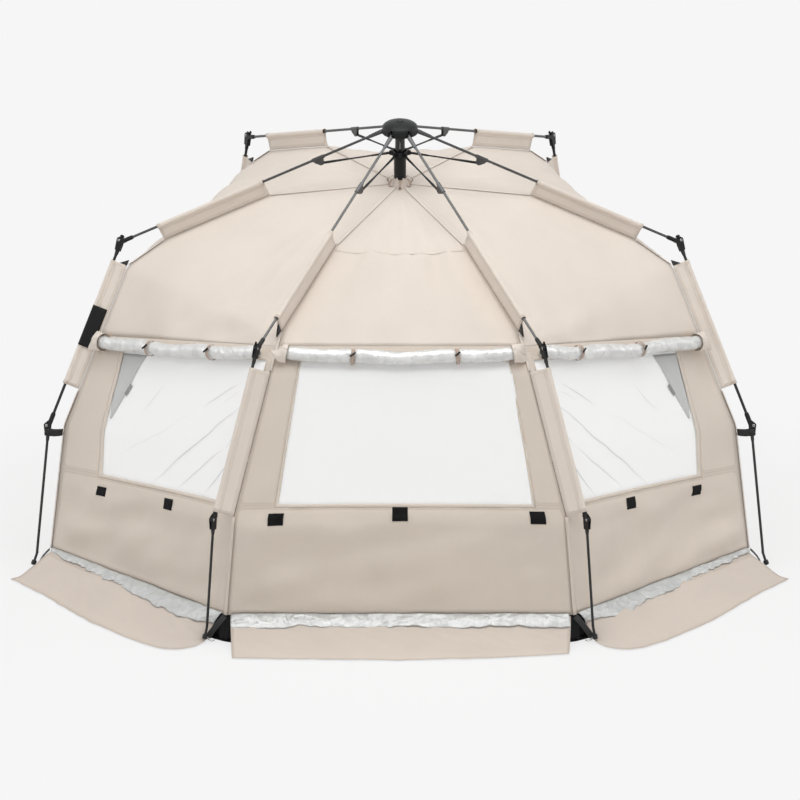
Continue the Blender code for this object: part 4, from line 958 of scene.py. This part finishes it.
def crumple(u, v, seed, rate=30.0):
    # Sharp uneven folds of thin coated cloth, between about -1 and 1
    drift = wobble(u * rate * 0.22 + seed, v * 1.4, seed)
    other = wobble(u * rate * 0.4 - seed, v * 2.3, 4.0)
    fold = sharpFold(u * rate * 0.55 + v * 0.8 + drift * 2.2) * (0.6 + drift)
    return fold * 0.55 + sharpFold(u * rate - v * 1.7 + other * 2.6) * 0.30 + other * 0.4


def buildRoll(panel):
    low, high = rollSettings["ends"][panel]
    core, radius = rollSettings["core"], rollSettings["radius"]
    seed = windowed.index(panel) * 11.7
    ties = rollSettings["ties"][panel]

    def place(u, v):
        centre, face, up, across = rollFrame(panel, low + (high - low) * v)
        angle = math.tau * rollSettings["turns"] * u - 0.5
        size = core + (radius - 0.0028 - core) * u
        pinch = 1.0 - 0.20 * sum(math.exp(-((v - tie) / 0.012) ** 2) for tie in ties)
        sharp = crumple(v * 1.1, angle / math.tau * 1.7, seed, 22.0)
        broad = wobble(v * 8 - seed, math.cos(angle) * 0.8, math.sin(angle) * 0.8)
        lump = 1.0 + u * (0.13 * broad + 0.13 * sharp)
        ends = 1.0 - 0.45 * (math.exp(-v * 90) + math.exp(-(1 - v) * 90))
        skew = across * 0.012 * (0.5 - u) * (1 if v > 0.5 else -1) * abs(2 * v - 1) ** 6
        droop = -up * 0.004 * math.sin(v * 17 + seed) * u
        spoke = face * math.cos(angle) + up * math.sin(angle)
        return centre + spoke * size * lump * pinch * ends + skew + droop

    length = np.linalg.norm(wallPoint(panel, high, 0.05) - wallPoint(panel, low, 0.05))
    item = clothPiece(f"windowRoll_{panel}", even(rollSettings["around"]), even(rollSettings["along"]), place,
                      (0.0, 0.0, 0.0), [silverFoil], thickness=0.0009, size=(0.35, length))
    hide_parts(f"roll_{panel}")
    declareSheet(item, rollSettings["wound"], length, "folded", [f"wallCloth_{panel}"])
    for count in rollSettings["closed"][panel]:
        buildRollEnd(panel, count)
    for count, tie in enumerate(ties):
        buildTie(panel, count, low + (high - low) * tie)


def buildRollEnd(panel, count):
    # Sand outer side of the cover: a sleeve on the roll's end that closes into a flat, creased lip
    share = rollSettings["ends"][panel][count]
    values = rollEndSettings["bunch" if panel == "front" else "outer"]
    hand = 1 if count == 0 else -1
    seed = count * 4 + windowed.index(panel)

    def place(u, v):
        reach = values["inside"] * v - values["outside"] * (1 - v)
        centre, face, up, across = rollFrame(panel, share + hand * reach)
        closing = max(0.0, -reach / values["outside"])
        angle = math.tau * u
        crinkle = crumple(v * 0.5 + u * 0.3, u * 2.0, seed, 18.0)
        size = rollSettings["radius"] * (1.12 + 0.10 * crinkle * (0.3 + closing))
        flat = (1 - closing) + values["flat"] * closing
        tall = 1 + 0.12 * closing
        turn = values["twist"] * closing * hand
        one = face * math.cos(turn) + up * math.sin(turn)
        two = up * math.cos(turn) - face * math.sin(turn)
        spot = centre + (one * math.cos(angle) * flat + two * math.sin(angle) * tall) * size
        return spot - across * hand * 0.012 * closing * max(0.0, -math.sin(angle))

    clothPiece(f"rollEnd_{panel}_{count}", even(40), even(14), place, (0, 0, 0), [sandCloth],
               thickness=0.0008, size=(0.19, 0.08), wrap=True)


def buildTie(panel, count, share):
    # Tape round the roll with its toggle bar
    centre, face, up, across = rollFrame(panel, share)
    radius = rollSettings["radius"] * tieSettings["seat"]
    lift = tieSettings["lift"]

    def place(u, v):
        angle = math.tau * u
        spoke = face * math.cos(angle) * tieSettings["flat"] + up * math.sin(angle)
        return centre + across * tieSettings["half"] * (2 * v - 1) + spoke * radius

    clothPiece(f"rollTie_{panel}_{count}", even(30), even(2), place, (0, 0, 0), [tieTape], thickness=0.0012,
               size=(0.17, 0.012), wrap=True)
    matrix = turnTo(centre + face * (radius + lift) - up * lift, across, face, up)
    boxPiece(f"rollToggle_{panel}_{count}", tieSettings["toggle"],
             matrix @ Matrix.Rotation(tieSettings["lean"], 4, "Y"), blackPlastic, edge=tieSettings["edge"])


# Sand flaps: share along the wall's foot and width out from it, at points of the outer hem
flapSettings = {"height": 0.0040, "rest": 0.80, "along": 84, "across": 26, "width": 0.25, "thickness": 0.0010}
flapHems = {
    "front": ((0.014, 0.214), (0.27, 0.228), (0.50, 0.236), (0.75, 0.215), (0.99, 0.165)),
    "front_left": ((0.015, 0.204), (0.228, 0.219), (0.549, 0.269), (0.775, 0.272), (0.90, 0.262),
                   (0.967, 0.240), (1.00, 0.180), (0.997, 0.110), (0.955, 0.048)),
    "back": ((0.03, 0.180), (0.27, 0.215), (0.50, 0.232), (0.73, 0.215), (0.97, 0.180)),
    "back_left": ((0.00, 0.160), (0.30, 0.205), (0.55, 0.165), (0.80, 0.055), (0.97, 0.016)),
}
for panel, twin in (("front_right", "front_left"), ("back_right", "back_left")):
    flapHems[panel] = tuple((1 - share, width) for share, width in reversed(flapHems[twin]))


def panelSpot(panel, share, width):
    start, end = (leg.knots[-1] for leg in legsOf(panel))
    return start + (end - start) * share + panelOutward(panel) * width


def hemAt(panel, u):
    # Share and width of the flap's outer hem, at an even rate along its points
    points = np.array(flapHems[panel])
    steps = np.linalg.norm(np.diff(points, axis=0) * np.array([1.1, 1.0]), axis=1)
    marks = np.concatenate([[0.0], np.cumsum(steps)]) / steps.sum()
    places = [min(1.0, max(0.0, u + step)) for step in (-0.025, 0.0, 0.025)]
    return [sum(np.interp(place, marks, points[:, k]) for place in places) / 3 for k in (0, 1)]


def flapSpot(panel, u, v):
    # Point of the flap: u along the wall, v from the wall to the outer hem
    low, high = flapHems[panel][0][0], flapHems[panel][-1][0]
    footShare = max(0.004, min(0.996, low + (high - low) * u))
    hemShare, hemWidth = hemAt(panel, u)
    foot = wallPoint(panel, footShare, 2.0)
    spot = panelSpot(panel, footShare + (hemShare - footShare) * v ** 1.2, hemWidth * v)
    fall = max(0.0, 1 - v / flapSettings["rest"]) ** 1.3
    spot[2] = flapSettings["height"] + (foot[2] - flapSettings["height"]) * fall
    blend = max(0.0, 1 - v * 6)
    return spot * (1 - blend) + (foot - upward * 0.004) * blend


def buildFlap(panel):
    width = footWidth(panel) * 1.02
    seed = seedOf(panel, 3.9)

    def place(u, v):
        spot = flapSpot(panel, u, v)
        lift = 0.013 * wobble(u * 8 + seed, v * 1.8, seed)
        crease = 0.010 * (0.4 - abs(wobble(u * 15 - v * 4 - seed, v * 3, 2.0)))
        edge = wobble(u * 20 + seed, 0.0, 4.0) * 0.005 * v
        slope = max(0.0, 1 - v / flapSettings["rest"])
        grow = math.sin(math.pi * min(1.0, v * 1.1)) ** 0.7 if v < 0.9 else 0.3
        spot[2] += max(-0.0008, (lift + crease) * grow * (0.35 + 0.65 * slope) + 0.002 * v)
        return spot + panelOutward(panel) * edge

    def seams(u, v):
        return min(u * width, (1 - u) * width, (1 - v) * 0.23, abs(v - 0.115) * 0.23)

    item = clothPiece(f"sandFlap_{panel}", even(flapSettings["along"]), even(flapSettings["across"]), place,
                      (0, 0, 1), [flapCloth, innerCoat], thickness=flapSettings["thickness"],
                      size=(width, 0.24), seams=seams)
    declareSheet(item, width, flapSettings["width"], "laid", ["groundSheet"])


# Crumpled band of the silver coating between the foot of the wall and the flap
stripSettings = {"narrow": 0.014, "wide": 0.050, "depth": 0.0040, "along": 210, "across": 12, "cut": 0.055,
                 "ends": {"front": (0.9, 0.8), "front_left": (0.15, 1.1), "front_right": (1.1, 0.15)}}


def buildStrip(panel):
    width = footWidth(panel)
    seed = seedOf(panel, 6.1)
    first, last = stripSettings["ends"].get(panel, (0.5, 0.5))
    narrow, wide = stripSettings["narrow"], stripSettings["wide"]

    def place(u, v):
        band = narrow + (wide - narrow) * (first + (last - first) * u)
        band *= 1.0 + 0.22 * wobble(u * 6, seed, 0.0) + 0.16 * wobble(u * 23, seed, 3.0)
        band += 0.004 * wobble(u * 61, seed, 5.0)
        upper = wallPoint(panel, 0.015 + 0.97 * u, 2.0) + upward * (0.004 + 0.003 * wobble(u * 19, seed, 7.0))
        spot = upper + (flapSpot(panel, u, band / 0.20) - upper) * v
        bulge = math.sin(math.pi * min(1.0, 0.06 + v * 0.9))
        lift = 0.0035 + 0.004 * bulge + stripSettings["depth"] * crumple(u * width, v, seed) * bulge
        return spot + (panelOutward(panel) * 0.75 + upward * 0.66) * max(0.0018, lift)

    item = clothPiece(f"silverStrip_{panel}", even(stripSettings["along"]), even(stripSettings["across"]),
                      place, panelOutward(panel), [stripFoil], thickness=0.0007, size=(width, 0.05))
    declareSheet(item, width, stripSettings["cut"], "gathered", [f"wallCloth_{panel}"])


# Ground sheet, a little uneven, cut to the tent's outline
groundSettings = {"flat": (2.70, 2.40), "thickness": 0.0012, "reach": 1.35, "mesh": 0.09, "height": 0.0016,
                  "wave": 0.0022}


def buildGroundSheet():
    shape = bmesh.new()
    uv = shape.loops.layers.uv.new("UVMap")
    outline = []
    for panel in panelLegs:
        near = legsOf(panel)[0]
        outline.append((near.knots[-1] + near.outward * 0.012) * onPlan)
        for share in even(8, 0.06, 0.94):
            reach = 0.5 * hemAt(panel, share)[1] * min(1.0, min(share, 1 - share) * 8)
            outline.append(panelSpot(panel, share, reach) * onPlan)
    shape.faces.new([shape.verts.new(point) for point in outline])
    cuts = np.arange(-groundSettings["reach"], groundSettings["reach"] + 0.01, groundSettings["mesh"])
    for normal in (Vector((1, 0, 0)), Vector((0, 1, 0))):
        for cut in cuts:
            bmesh.ops.bisect_plane(shape, geom=shape.verts[:] + shape.edges[:] + shape.faces[:],
                                   plane_co=normal * cut, plane_no=normal)
    for point in shape.verts:
        wave = 0.5 + 0.5 * wobble(point.co.x * 7, point.co.y * 7, 2.0)
        inside = min(1.0, max(0.0, (1.05 - point.co.length) * 6))
        point.co.z = groundSettings["height"] + groundSettings["wave"] * wave * inside
    for face in shape.faces:
        for loop in face.loops:
            loop[uv].uv = (loop.vert.co.x, loop.vert.co.y)
    item = finishCloth("groundSheet", shape, (0, 0, 1), [sheetCloth], "tent", groundSettings["thickness"])
    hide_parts("ground_sheet")
    declareSheet(item, *groundSettings["flat"], "laid", [])


# Hook tape squares that hold the foot of a closed window cover: share and level
patchSettings = {"size": (0.056, 0.033), "thickness": 0.0014, "lift": 0.0012,
                 "places": {"front": ((0.126, 1.02), (0.50, 0.985), (0.915, 1.005)),
                            "front_left": ((0.242, 1.055), (0.62, 1.03)),
                            "front_right": ((0.38, 1.02), (0.758, 1.045))}}


def buildPatch(panel, count, share, level):
    width = np.linalg.norm(wallPoint(panel, 1.0, level) - wallPoint(panel, 0.0, level))
    depth = np.linalg.norm(wallPoint(panel, share, 1.5) - wallPoint(panel, share, 1.0)) * 2
    wide, high = patchSettings["size"]

    def place(u, v):
        across, down = share + wide / width * (u - 0.5), level + high / depth * (v - 0.5)
        rim = min(1.0, min(u, 1 - u, v, 1 - v) * 9)
        lift = wallWave(panel, across, down) + patchSettings["lift"] * (1 + rim)
        return offWall(panel, across, down, lift)

    clothPiece(f"hookPatch_{panel}_{count}", even(14), even(10), place, panelOutward(panel), [hookTape],
               thickness=patchSettings["thickness"], size=patchSettings["size"])


# Webbing from a knee to the corner of the wall, one layer on each side
strapSettings = {"above": 0.022, "out": 0.006, "drop": 0.004, "open": 0.0082, "gap": 0.0008, "steps": 12}


def buildKneeStrap(legName):
    leg = legLines[legName]
    steps = strapSettings["steps"]
    start = leg.knee + leg.pole * strapSettings["above"] + leg.outward * strapSettings["out"]
    end = leg.ribAt(leg.atHeight(start[2] - strapSettings["drop"]))
    points = [start + (end - start) * share - upward * strapSettings["drop"] * math.sin(math.pi * share)
              for share in even(steps)]
    side = unit(np.cross(leg.outward, upward))
    for hand, name in handNames.items():
        line = [point + side * hand * (strapSettings["open"] * (1 - k / steps) ** 0.5 + strapSettings["gap"])
                for k, point in enumerate(points)]
        buildTape(f"kneeStrap_{legName}_{name}", line, side * hand, webbing, f"middle_{legName}")


def buildTab(name, corner, first, second, body):
    # Small webbing triangles on both sides of the cloth, which take the pull at the end of a sleeve
    normal = unit(np.cross(first, second))
    for count, hand, lift in ((0, 1, 0.0025), (1, -1, -0.0027)):
        clothPiece(f"{name}_{count}", even(6), even(6, 0.02, 1.0),
                   lambda u, v: corner + first * v * (1 - u) + second * v * u + normal * lift,
                   normal * hand, [webbing], body=body, thickness=0.0012, size=(0.03, 0.03))


def buildTabs(legName):
    leg = legLines[legName]
    if leg.kind == "front":
        low = leg.armPoint(tentSizes["armSleeve"][1]) + leg.armIn * (leg.fin - 0.006)
        buildTab(f"armTab_{legName}", low, -leg.armIn * 0.038, leg.along * 0.034, f"arm_{legName}")
    else:
        high = leg.polePoint(leg.size["sleeve"][0]) + leg.poleIn * (leg.fin - 0.002)
        buildTab(f"poleTab_{legName}", high, -leg.poleIn * 0.030, -leg.pole * 0.022, f"middle_{legName}")


# Rivets of the two joints, and ears with pads beside the shoulder's channel
jointSettings = {"rivet": 0.0048, "half": 0.0077, "shoulder": 0.0085, "knee": 0.0095, "edge": 0.0013,
                 "ear": (0.025, 0.0032, 0.0072), "pad": (0.009, 0.0036, 0.0090), "crest": 0.0160,
                 "back": 0.005, "aside": 0.0064, "padBack": 0.0065, "padUp": 0.0028}


def buildRivet(name, place, axis, body):
    # Hollow rivet whose two rims show on both cheeks of a joint
    radius, half = jointSettings["rivet"], jointSettings["half"]
    shape = bmesh.new()
    profile = [(radius * 0.42, half), (radius * 0.62, half + 0.0009), (radius * 0.9, half + 0.0008),
               (radius, half + 0.0001), (radius, half - 0.0006)]
    profile += [(x, -z) for x, z in reversed(profile)]
    verts = [shape.verts.new((x, 0.0, z)) for x, z in profile]
    edges = [shape.edges.new((a, b)) for a, b in zip(verts, verts[1:] + verts[:1])]
    bmesh.ops.spin(shape, geom=verts + edges, cent=(0, 0, 0), axis=(0, 0, 1), angle=math.tau, steps=28,
                   use_merge=True)
    turn = Vector(axis).to_track_quat("Z", "Y").to_matrix().to_4x4()
    bmesh.ops.transform(shape, matrix=Matrix.Translation(Vector(place)) @ turn, verts=shape.verts)
    saveShape(shape, name, rivetSteel, body)


def hingePoint(corner, before, after, axis, offset):
    one, two = np.cross(before, axis), np.cross(after, axis)
    return corner + offset * (one + two) / (1 + one @ two)


def buildJointParts(legName):
    leg = legLines[legName]
    spot = hingePoint(leg.shoulder, leg.along, leg.pole, leg.bendAxis, jointSettings["shoulder"])
    buildRivet(f"shoulderRivet_{legName}", spot, leg.bendAxis, f"arm_{legName}")
    kneeAxis = unit(np.cross(leg.pole, leg.shank))
    spot = hingePoint(leg.knee, leg.pole, leg.shank, kneeAxis, jointSettings["knee"])
    buildRivet(f"kneeRivet_{legName}", spot, kneeAxis, f"middle_{legName}")
    crest = unit(np.cross(leg.bendAxis, leg.along))
    crest = crest if crest @ hubAxis > 0 else -crest
    for hand, name in handNames.items():
        ear = (leg.shoulder + crest * jointSettings["crest"] - leg.along * jointSettings["back"]
               + leg.bendAxis * hand * jointSettings["aside"])
        pad = ear - leg.along * jointSettings["padBack"] + crest * jointSettings["padUp"]
        for title, size, place in (("shoulderEar", "ear", ear), ("shoulderPad", "pad", pad)):
            boxPiece(f"{title}_{legName}_{name}", jointSettings[size],
                     turnTo(place, leg.along, leg.bendAxis, crest), blackPlastic, f"arm_{legName}",
                     jointSettings["edge"])


# Plain black label folded over the left pole sleeve
labelSettings = {"shares": (0.345, 0.560), "depth": 0.050, "slack": 0.0109, "gap": 0.0042, "flat": 6,
                 "arc": 12}


def buildLabel():
    leg = legLines["left"]
    low, high = labelSettings["shares"]
    radius, flat, arc = labelSettings["slack"], labelSettings["flat"], labelSettings["arc"]
    side = unit(np.cross(leg.pole, leg.poleIn))
    stations = [(-1, step / flat) for step in range(flat)]
    stations += [(0, step / arc) for step in range(arc + 1)]
    stations += [(1, 1 - (step + 1) / flat) for step in range(flat)]

    def place(u, v):
        hand, part = stations[round(u * (len(stations) - 1))]
        centre = leg.polePoint(low + (high - low) * v)
        if hand == 0:
            angle = math.radians(60 + 240 * part)
            return centre + (leg.poleIn * math.cos(angle) - side * math.sin(angle)) * radius
        depth = labelSettings["depth"] + (radius * 0.5 - labelSettings["depth"]) * part
        gap = labelSettings["gap"] + (radius * 0.866 - labelSettings["gap"]) * part
        return centre + leg.poleIn * depth + side * hand * gap

    clothPiece("poleLabel", even(len(stations) - 1), even(20), place, -leg.poleIn, [sheetCloth],
               body="middle_left", thickness=0.0009, size=(0.12, 0.15))


# Bent wire triangle at the foot, for a ground peg
pegSettings = {"wire": 0.0014, "aside": 0.010, "up": 0.003, "lean": 0.12, "reach": 0.021, "back": 0.004,
               "half": 0.011, "corner": 0.004, "bends": 4, "sides": 10}


def buildPegRing(legName):
    leg = legLines[legName]
    side = unit(np.cross(leg.outward, upward))
    side = side if side[1] < 0 else -side
    centre = leg.foot + side * pegSettings["aside"] + upward * pegSettings["up"]
    lean = unit(side - upward * pegSettings["lean"])
    far, wide = centre + lean * pegSettings["reach"], leg.outward * pegSettings["half"]
    corners = [centre - lean * pegSettings["back"], far + wide, far - wide]
    points = []
    for here, ahead, last in zip(corners, corners[1:] + corners[:1], corners[-1:] + corners[:-1]):
        inward, onward = unit(last - here), unit(ahead - here)
        points += [here + (inward * (1 - part) ** 2 + onward * part ** 2) * pegSettings["corner"]
                   for part in even(pegSettings["bends"])]
    normal = unit(np.cross(corners[1] - corners[0], corners[2] - corners[0]))
    outs = [np.cross(unit(points[(k + 1) % len(points)] - points[k - 1]), normal) for k in range(len(points))]
    shape = bmesh.new()
    wireRings(shape, points, outs, [normal] * len(points), pegSettings["wire"], pegSettings["sides"], True)
    saveShape(shape, f"pegRing_{legName}", rivetSteel, f"lower_{legName}")


# Upturned corner of the ground sheet between two sand flaps, with the strap to the foot
cornerSettings = {"reach": 0.075, "back": 0.005, "out": 0.018, "rest": 0.0035, "strapOut": 0.004,
                  "strapDown": 0.004, "strapIn": 0.012, "strapUp": 0.006, "strapBow": 0.006}


def buildFloorCorner(legName):
    leg = legLines[legName]
    sides = []
    for panel, ends in panelLegs.items():
        if legName in ends:
            width = np.linalg.norm(wallPoint(panel, 1.0, 2.0) - wallPoint(panel, 0.0, 2.0))
            sides.append((panel, ends.index(legName), cornerSettings["reach"] / width))
    sides.sort(key=lambda side: side[1])

    def place(u, v):
        panel, end, share = sides[0] if u < 0.5 else sides[1]
        far = abs(u - 0.5) * 2 * share
        spot = wallPoint(panel, far if end == 0 else 1 - far, 2.0)
        spot = spot - panelOutward(panel) * cornerSettings["back"]
        fold = 0.006 * math.sin(u * 21) * v + 0.004 * math.sin(u * 43 + 2) * v
        spot = spot + leg.outward * (cornerSettings["out"] * v ** 1.5 * (1 - abs(2 * u - 1)) + fold)
        spot[2] = spot[2] * (1 - v) + cornerSettings["rest"] * v
        return spot

    clothPiece(f"floorCorner_{legName}", even(28), even(10), place, leg.outward, [sheetCloth],
               thickness=0.0011, size=(0.15, 0.09))
    top = leg.knots[-1] + leg.outward * cornerSettings["strapOut"] - upward * cornerSettings["strapDown"]
    foot = leg.foot - leg.outward * cornerSettings["strapIn"] + upward * cornerSettings["strapUp"]
    line = [top + (foot - top) * share + leg.outward * cornerSettings["strapBow"] * math.sin(math.pi * share)
            for share in even(10)]
    buildTape(f"footStrap_{legName}", line, leg.outward, webbing)


# Gathered collar of the roof at the post, with its pull tapes
apexSettings = {"below": 0.001, "radius": 0.034, "narrowing": 0.0125, "height": 0.030, "thickness": 0.0010,
                "tapes": 6, "tapeRadius": 0.032, "tapeBow": 0.024}


def buildApex():
    top = hub - hubAxis * (tentSizes["apexDrop"] + apexSettings["below"])
    first, second = hubTurn @ np.array([1.0, 0.0, 0.0]), hubTurn @ np.array([0.0, 1.0, 0.0])

    def place(u, v):
        angle = math.tau * u
        frill = 0.0045 * math.sin(11 * angle) * v + 0.003 * math.sin(7 * angle + 1.3) * v ** 2
        radius = apexSettings["radius"] - apexSettings["narrowing"] * v ** 0.7 + frill
        rise = -0.004 + apexSettings["height"] * v + 0.006 * v * math.sin(5 * angle)
        return top + (first * math.cos(angle) + second * math.sin(angle)) * radius + hubAxis * rise

    clothPiece("apexCollar", even(96), even(10), place, (0, 0, 0), [sandCloth],
               thickness=apexSettings["thickness"], size=(0.2, 0.035), wrap=True)
    for count in range(apexSettings["tapes"]):
        angle = math.tau * (count + 0.5) / apexSettings["tapes"]
        spoke = first * math.cos(angle) + second * math.sin(angle)
        bow = apexSettings["tapeBow"] * (0.7 if count % 2 else 1.0)
        points = [top + spoke * (apexSettings["tapeRadius"] + bow * math.sin(math.pi * share))
                  + hubAxis * (-0.002 + 0.030 * share ** 1.4 - 0.004 * math.sin(math.pi * share))
                  for share in even(12)]
        buildTape(f"apexTape_{count}", points, unit(hubAxis + spoke * 0.4), tieTape)


# Return spring of the latch, seen in the slot of the post
springSettings = {"turns": 9, "radius": 0.0042, "wire": 0.0009, "low": -0.070, "high": -0.040,
                  "forward": -0.0128, "perTurn": 14, "sides": 8}


def buildPostSpring():
    low, high = springSettings["low"], springSettings["high"]
    shares = even(springSettings["turns"] * springSettings["perTurn"])
    angles = [math.tau * springSettings["turns"] * share for share in shares]
    spokes = [np.array([math.cos(angle), math.sin(angle), 0.0]) for angle in angles]
    points = [np.array([0.0, springSettings["forward"], low + (high - low) * share])
              + spoke * springSettings["radius"] for share, spoke in zip(shares, spokes)]
    shape = bmesh.new()
    wireRings(shape, points, spokes, [upward] * len(points), springSettings["wire"],
              springSettings["sides"], False)
    bmesh.ops.transform(shape, matrix=hubMatrix, verts=shape.verts)
    saveShape(shape, "latchSpring", rivetSteel, "tent")


# Cross seam of the front gore, and the back door's arched zip
doorSettings = {"middle": 0.5, "half": 0.28, "spring": 0.85, "rise": 0.62, "leg": (0.90, 1.92),
                "crossSeam": 0.50, "slider": (0.009, 0.004, 0.014), "sliderLift": 0.0055}


def buildCrossSeam():
    points = [goreSurface("front", u, doorSettings["crossSeam"]) for u in even(30, 0.02, 0.98)]
    buildTape("crossSeam_front", points, goreNormal("front"), sandCloth)


def buildDoorZip():
    middle, half = doorSettings["middle"], doorSettings["half"]
    spring, rise = doorSettings["spring"], doorSettings["rise"]
    top, foot = doorSettings["leg"]
    route = [(middle - half, level) for level in even(12, foot, top)]
    route += [(middle - half * math.cos(angle), spring - rise * math.sin(angle))
              for angle in even(40, 0.0, math.pi)]
    route += [(middle + half, level) for level in even(12, top, foot)]
    points = [offWall("back", share, level, wallWave("back", share, level)) for share, level in route]
    outward = panelOutward("back")
    buildTape("doorTape_back", points, outward, wallCloth)
    buildTape("doorZip_back", points, outward, blackPlastic)
    spot = points[3] + outward * doorSettings["sliderLift"]
    matrix = turnTo(spot, unit(np.cross(outward, upward)), outward, upward)
    boxPiece("doorSlider_back", doorSettings["slider"], matrix, rivetSteel)


for panelName in panelLegs:
    buildGore(panelName)
    buildWall(panelName)
    buildFlap(panelName)
    buildStrip(panelName)
print("roof and walls made")
for panelName in windowed:
    buildNet(panelName)
    buildWindowTrim(panelName)
    buildRoll(panelName)
    if panelName != "front":
        buildReveal(panelName)
for legName in legLines:
    buildSleeves(legName)
buildSeams()
buildGroundSheet()
print("sleeves, rolls and seams made")
for legName in legLines:
    if legLines[legName].kind != "front":
        buildKneeStrap(legName)
    buildTabs(legName)
    buildJointParts(legName)
    buildPegRing(legName)
    buildFloorCorner(legName)
for panelName, places in patchSettings["places"].items():
    for count, (share, level) in enumerate(places):
        buildPatch(panelName, count, share, level)
buildLabel()
buildApex()
buildPostSpring()
buildCrossSeam()
buildDoorZip()
print("fittings made")

# Pieces on the tent body, save the ground sheet and the latch spring, get a mesh of their own
foldSettings = {"joint": "fold_left", "floor": 0.0042, "keep": 0.30, "stays": ("groundSheet", "latchSpring")}
for item in sinking:
    if item.name not in foldSettings["stays"]:
        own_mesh(item)

# Camera, light and floor
cameraSettings = {"place": (0.0, -24.03, 7.741), "aim": (0.0, 0.0, 0.607), "lens": 302.2, "sensor": 36.0,
                  "clip": 200.0}
lampAim = (0.0, 0.0, 0.6)
lampSettings = {
    "overhead": {"place": (0.0, -1.7, 7.0), "size": 6.0, "power": 300.0},
    "front": {"place": (0.5, -9.0, 3.0), "size": 6.0, "power": 42.0},
    "leftSide": {"place": (-8.0, -0.4, 4.5), "size": 4.0, "power": 90.0},
    "rightSide": {"place": (8.0, -0.2, 4.5), "size": 4.0, "power": 102.0},
}
stageSettings = {"size": 60.0, "below": 0.0006, "pale": 0.922, "worldLight": 0.36, "shadowShare": 0.25,
                 "shadow": (1.5, 2.6)}


def placeAimed(name, data, place, aim):
    item = bpy.data.objects.new(name, data)
    bpy.context.scene.collection.objects.link(item)
    item.location = place
    item.rotation_euler = (Vector(aim) - item.location).to_track_quat("-Z", "Y").to_euler()
    return item


camera = placeAimed("camera", bpy.data.cameras.new("camera"), cameraSettings["place"], cameraSettings["aim"])
camera.data.lens, camera.data.sensor_width = cameraSettings["lens"], cameraSettings["sensor"]
camera.data.clip_end = cameraSettings["clip"]
bpy.context.scene.camera = camera
for name, values in lampSettings.items():
    lamp = bpy.data.lights.new(name, "AREA")
    lamp.size, lamp.energy = values["size"], values["power"]
    placeAimed(name, lamp, values["place"], lampAim)


def seenRays(tree):
    # 1 for the rays that show the plain background: camera, glossy and transmission
    rays = addNode(tree, "LightPath")
    seen = mathNode(tree, "MAXIMUM", rays["Is Camera Ray"], rays["Is Glossy Ray"])
    return mathNode(tree, "MAXIMUM", seen, rays["Is Transmission Ray"])


def buildStage():
    pale = (stageSettings["pale"], stageSettings["pale"], stageSettings["pale"], 1.0)
    shape = bmesh.new()
    bmesh.ops.create_grid(shape, x_segments=2, y_segments=2, size=stageSettings["size"])
    bmesh.ops.translate(shape, vec=(0.0, 0.0, -stageSettings["below"]), verts=shape.verts)
    mesh = bpy.data.meshes.new("studioFloor")
    shape.to_mesh(mesh)
    shape.free()
    floor = bpy.data.objects.new("studioFloor", mesh)
    bpy.context.scene.collection.objects.link(floor)
    material, tree, shader = newMaterial("studioFloor", 0.9, Base_Color=pale)
    glow = addNode(tree, "Emission", values={"Color": pale, "Strength": 1.0})["Emission"]
    place = addNode(tree, "TexCoord")["Object"]
    away = addNode(tree, "VectorMath", {"operation": "LENGTH"}, links={0: place})["Value"]
    start, end = stageSettings["shadow"]
    fade = {"From Min": start, "From Max": end, "To Min": stageSettings["shadowShare"], "To Max": 0.0}
    near = addNode(tree, "MapRange", {"interpolation_type": "SMOOTHSTEP"}, fade, {"Value": away})["Result"]
    share = mathNode(tree, "MULTIPLY", seenRays(tree), mathNode(tree, "SUBTRACT", 1.0, near))
    mixed = addNode(tree, "MixShader", links={0: share, 1: shader.outputs["BSDF"], 2: glow})["Shader"]
    tree.links.new(mixed, tree.nodes["Material Output"].inputs["Surface"])
    mesh.materials.append(material)
    world = bpy.data.worlds.new("studio")
    bpy.context.scene.world = world
    world.use_nodes = True
    tree = world.node_tree
    light = tree.nodes["Background"]
    light.inputs["Color"].default_value = (1.0, 1.0, 1.0, 1.0)
    light.inputs["Strength"].default_value = stageSettings["worldLight"]
    back = addNode(tree, "Background", values={"Color": pale, "Strength": 1.0})["Background"]
    lit = light.outputs["Background"]
    mixed = addNode(tree, "MixShader", links={0: seenRays(tree), 1: lit, 2: back})["Shader"]
    tree.links.new(mixed, tree.nodes["World Output"].inputs["Surface"])


buildStage()
bpy.context.scene.view_settings.view_transform = "Standard"

bpy.context.view_layer.update()
print("scene made")
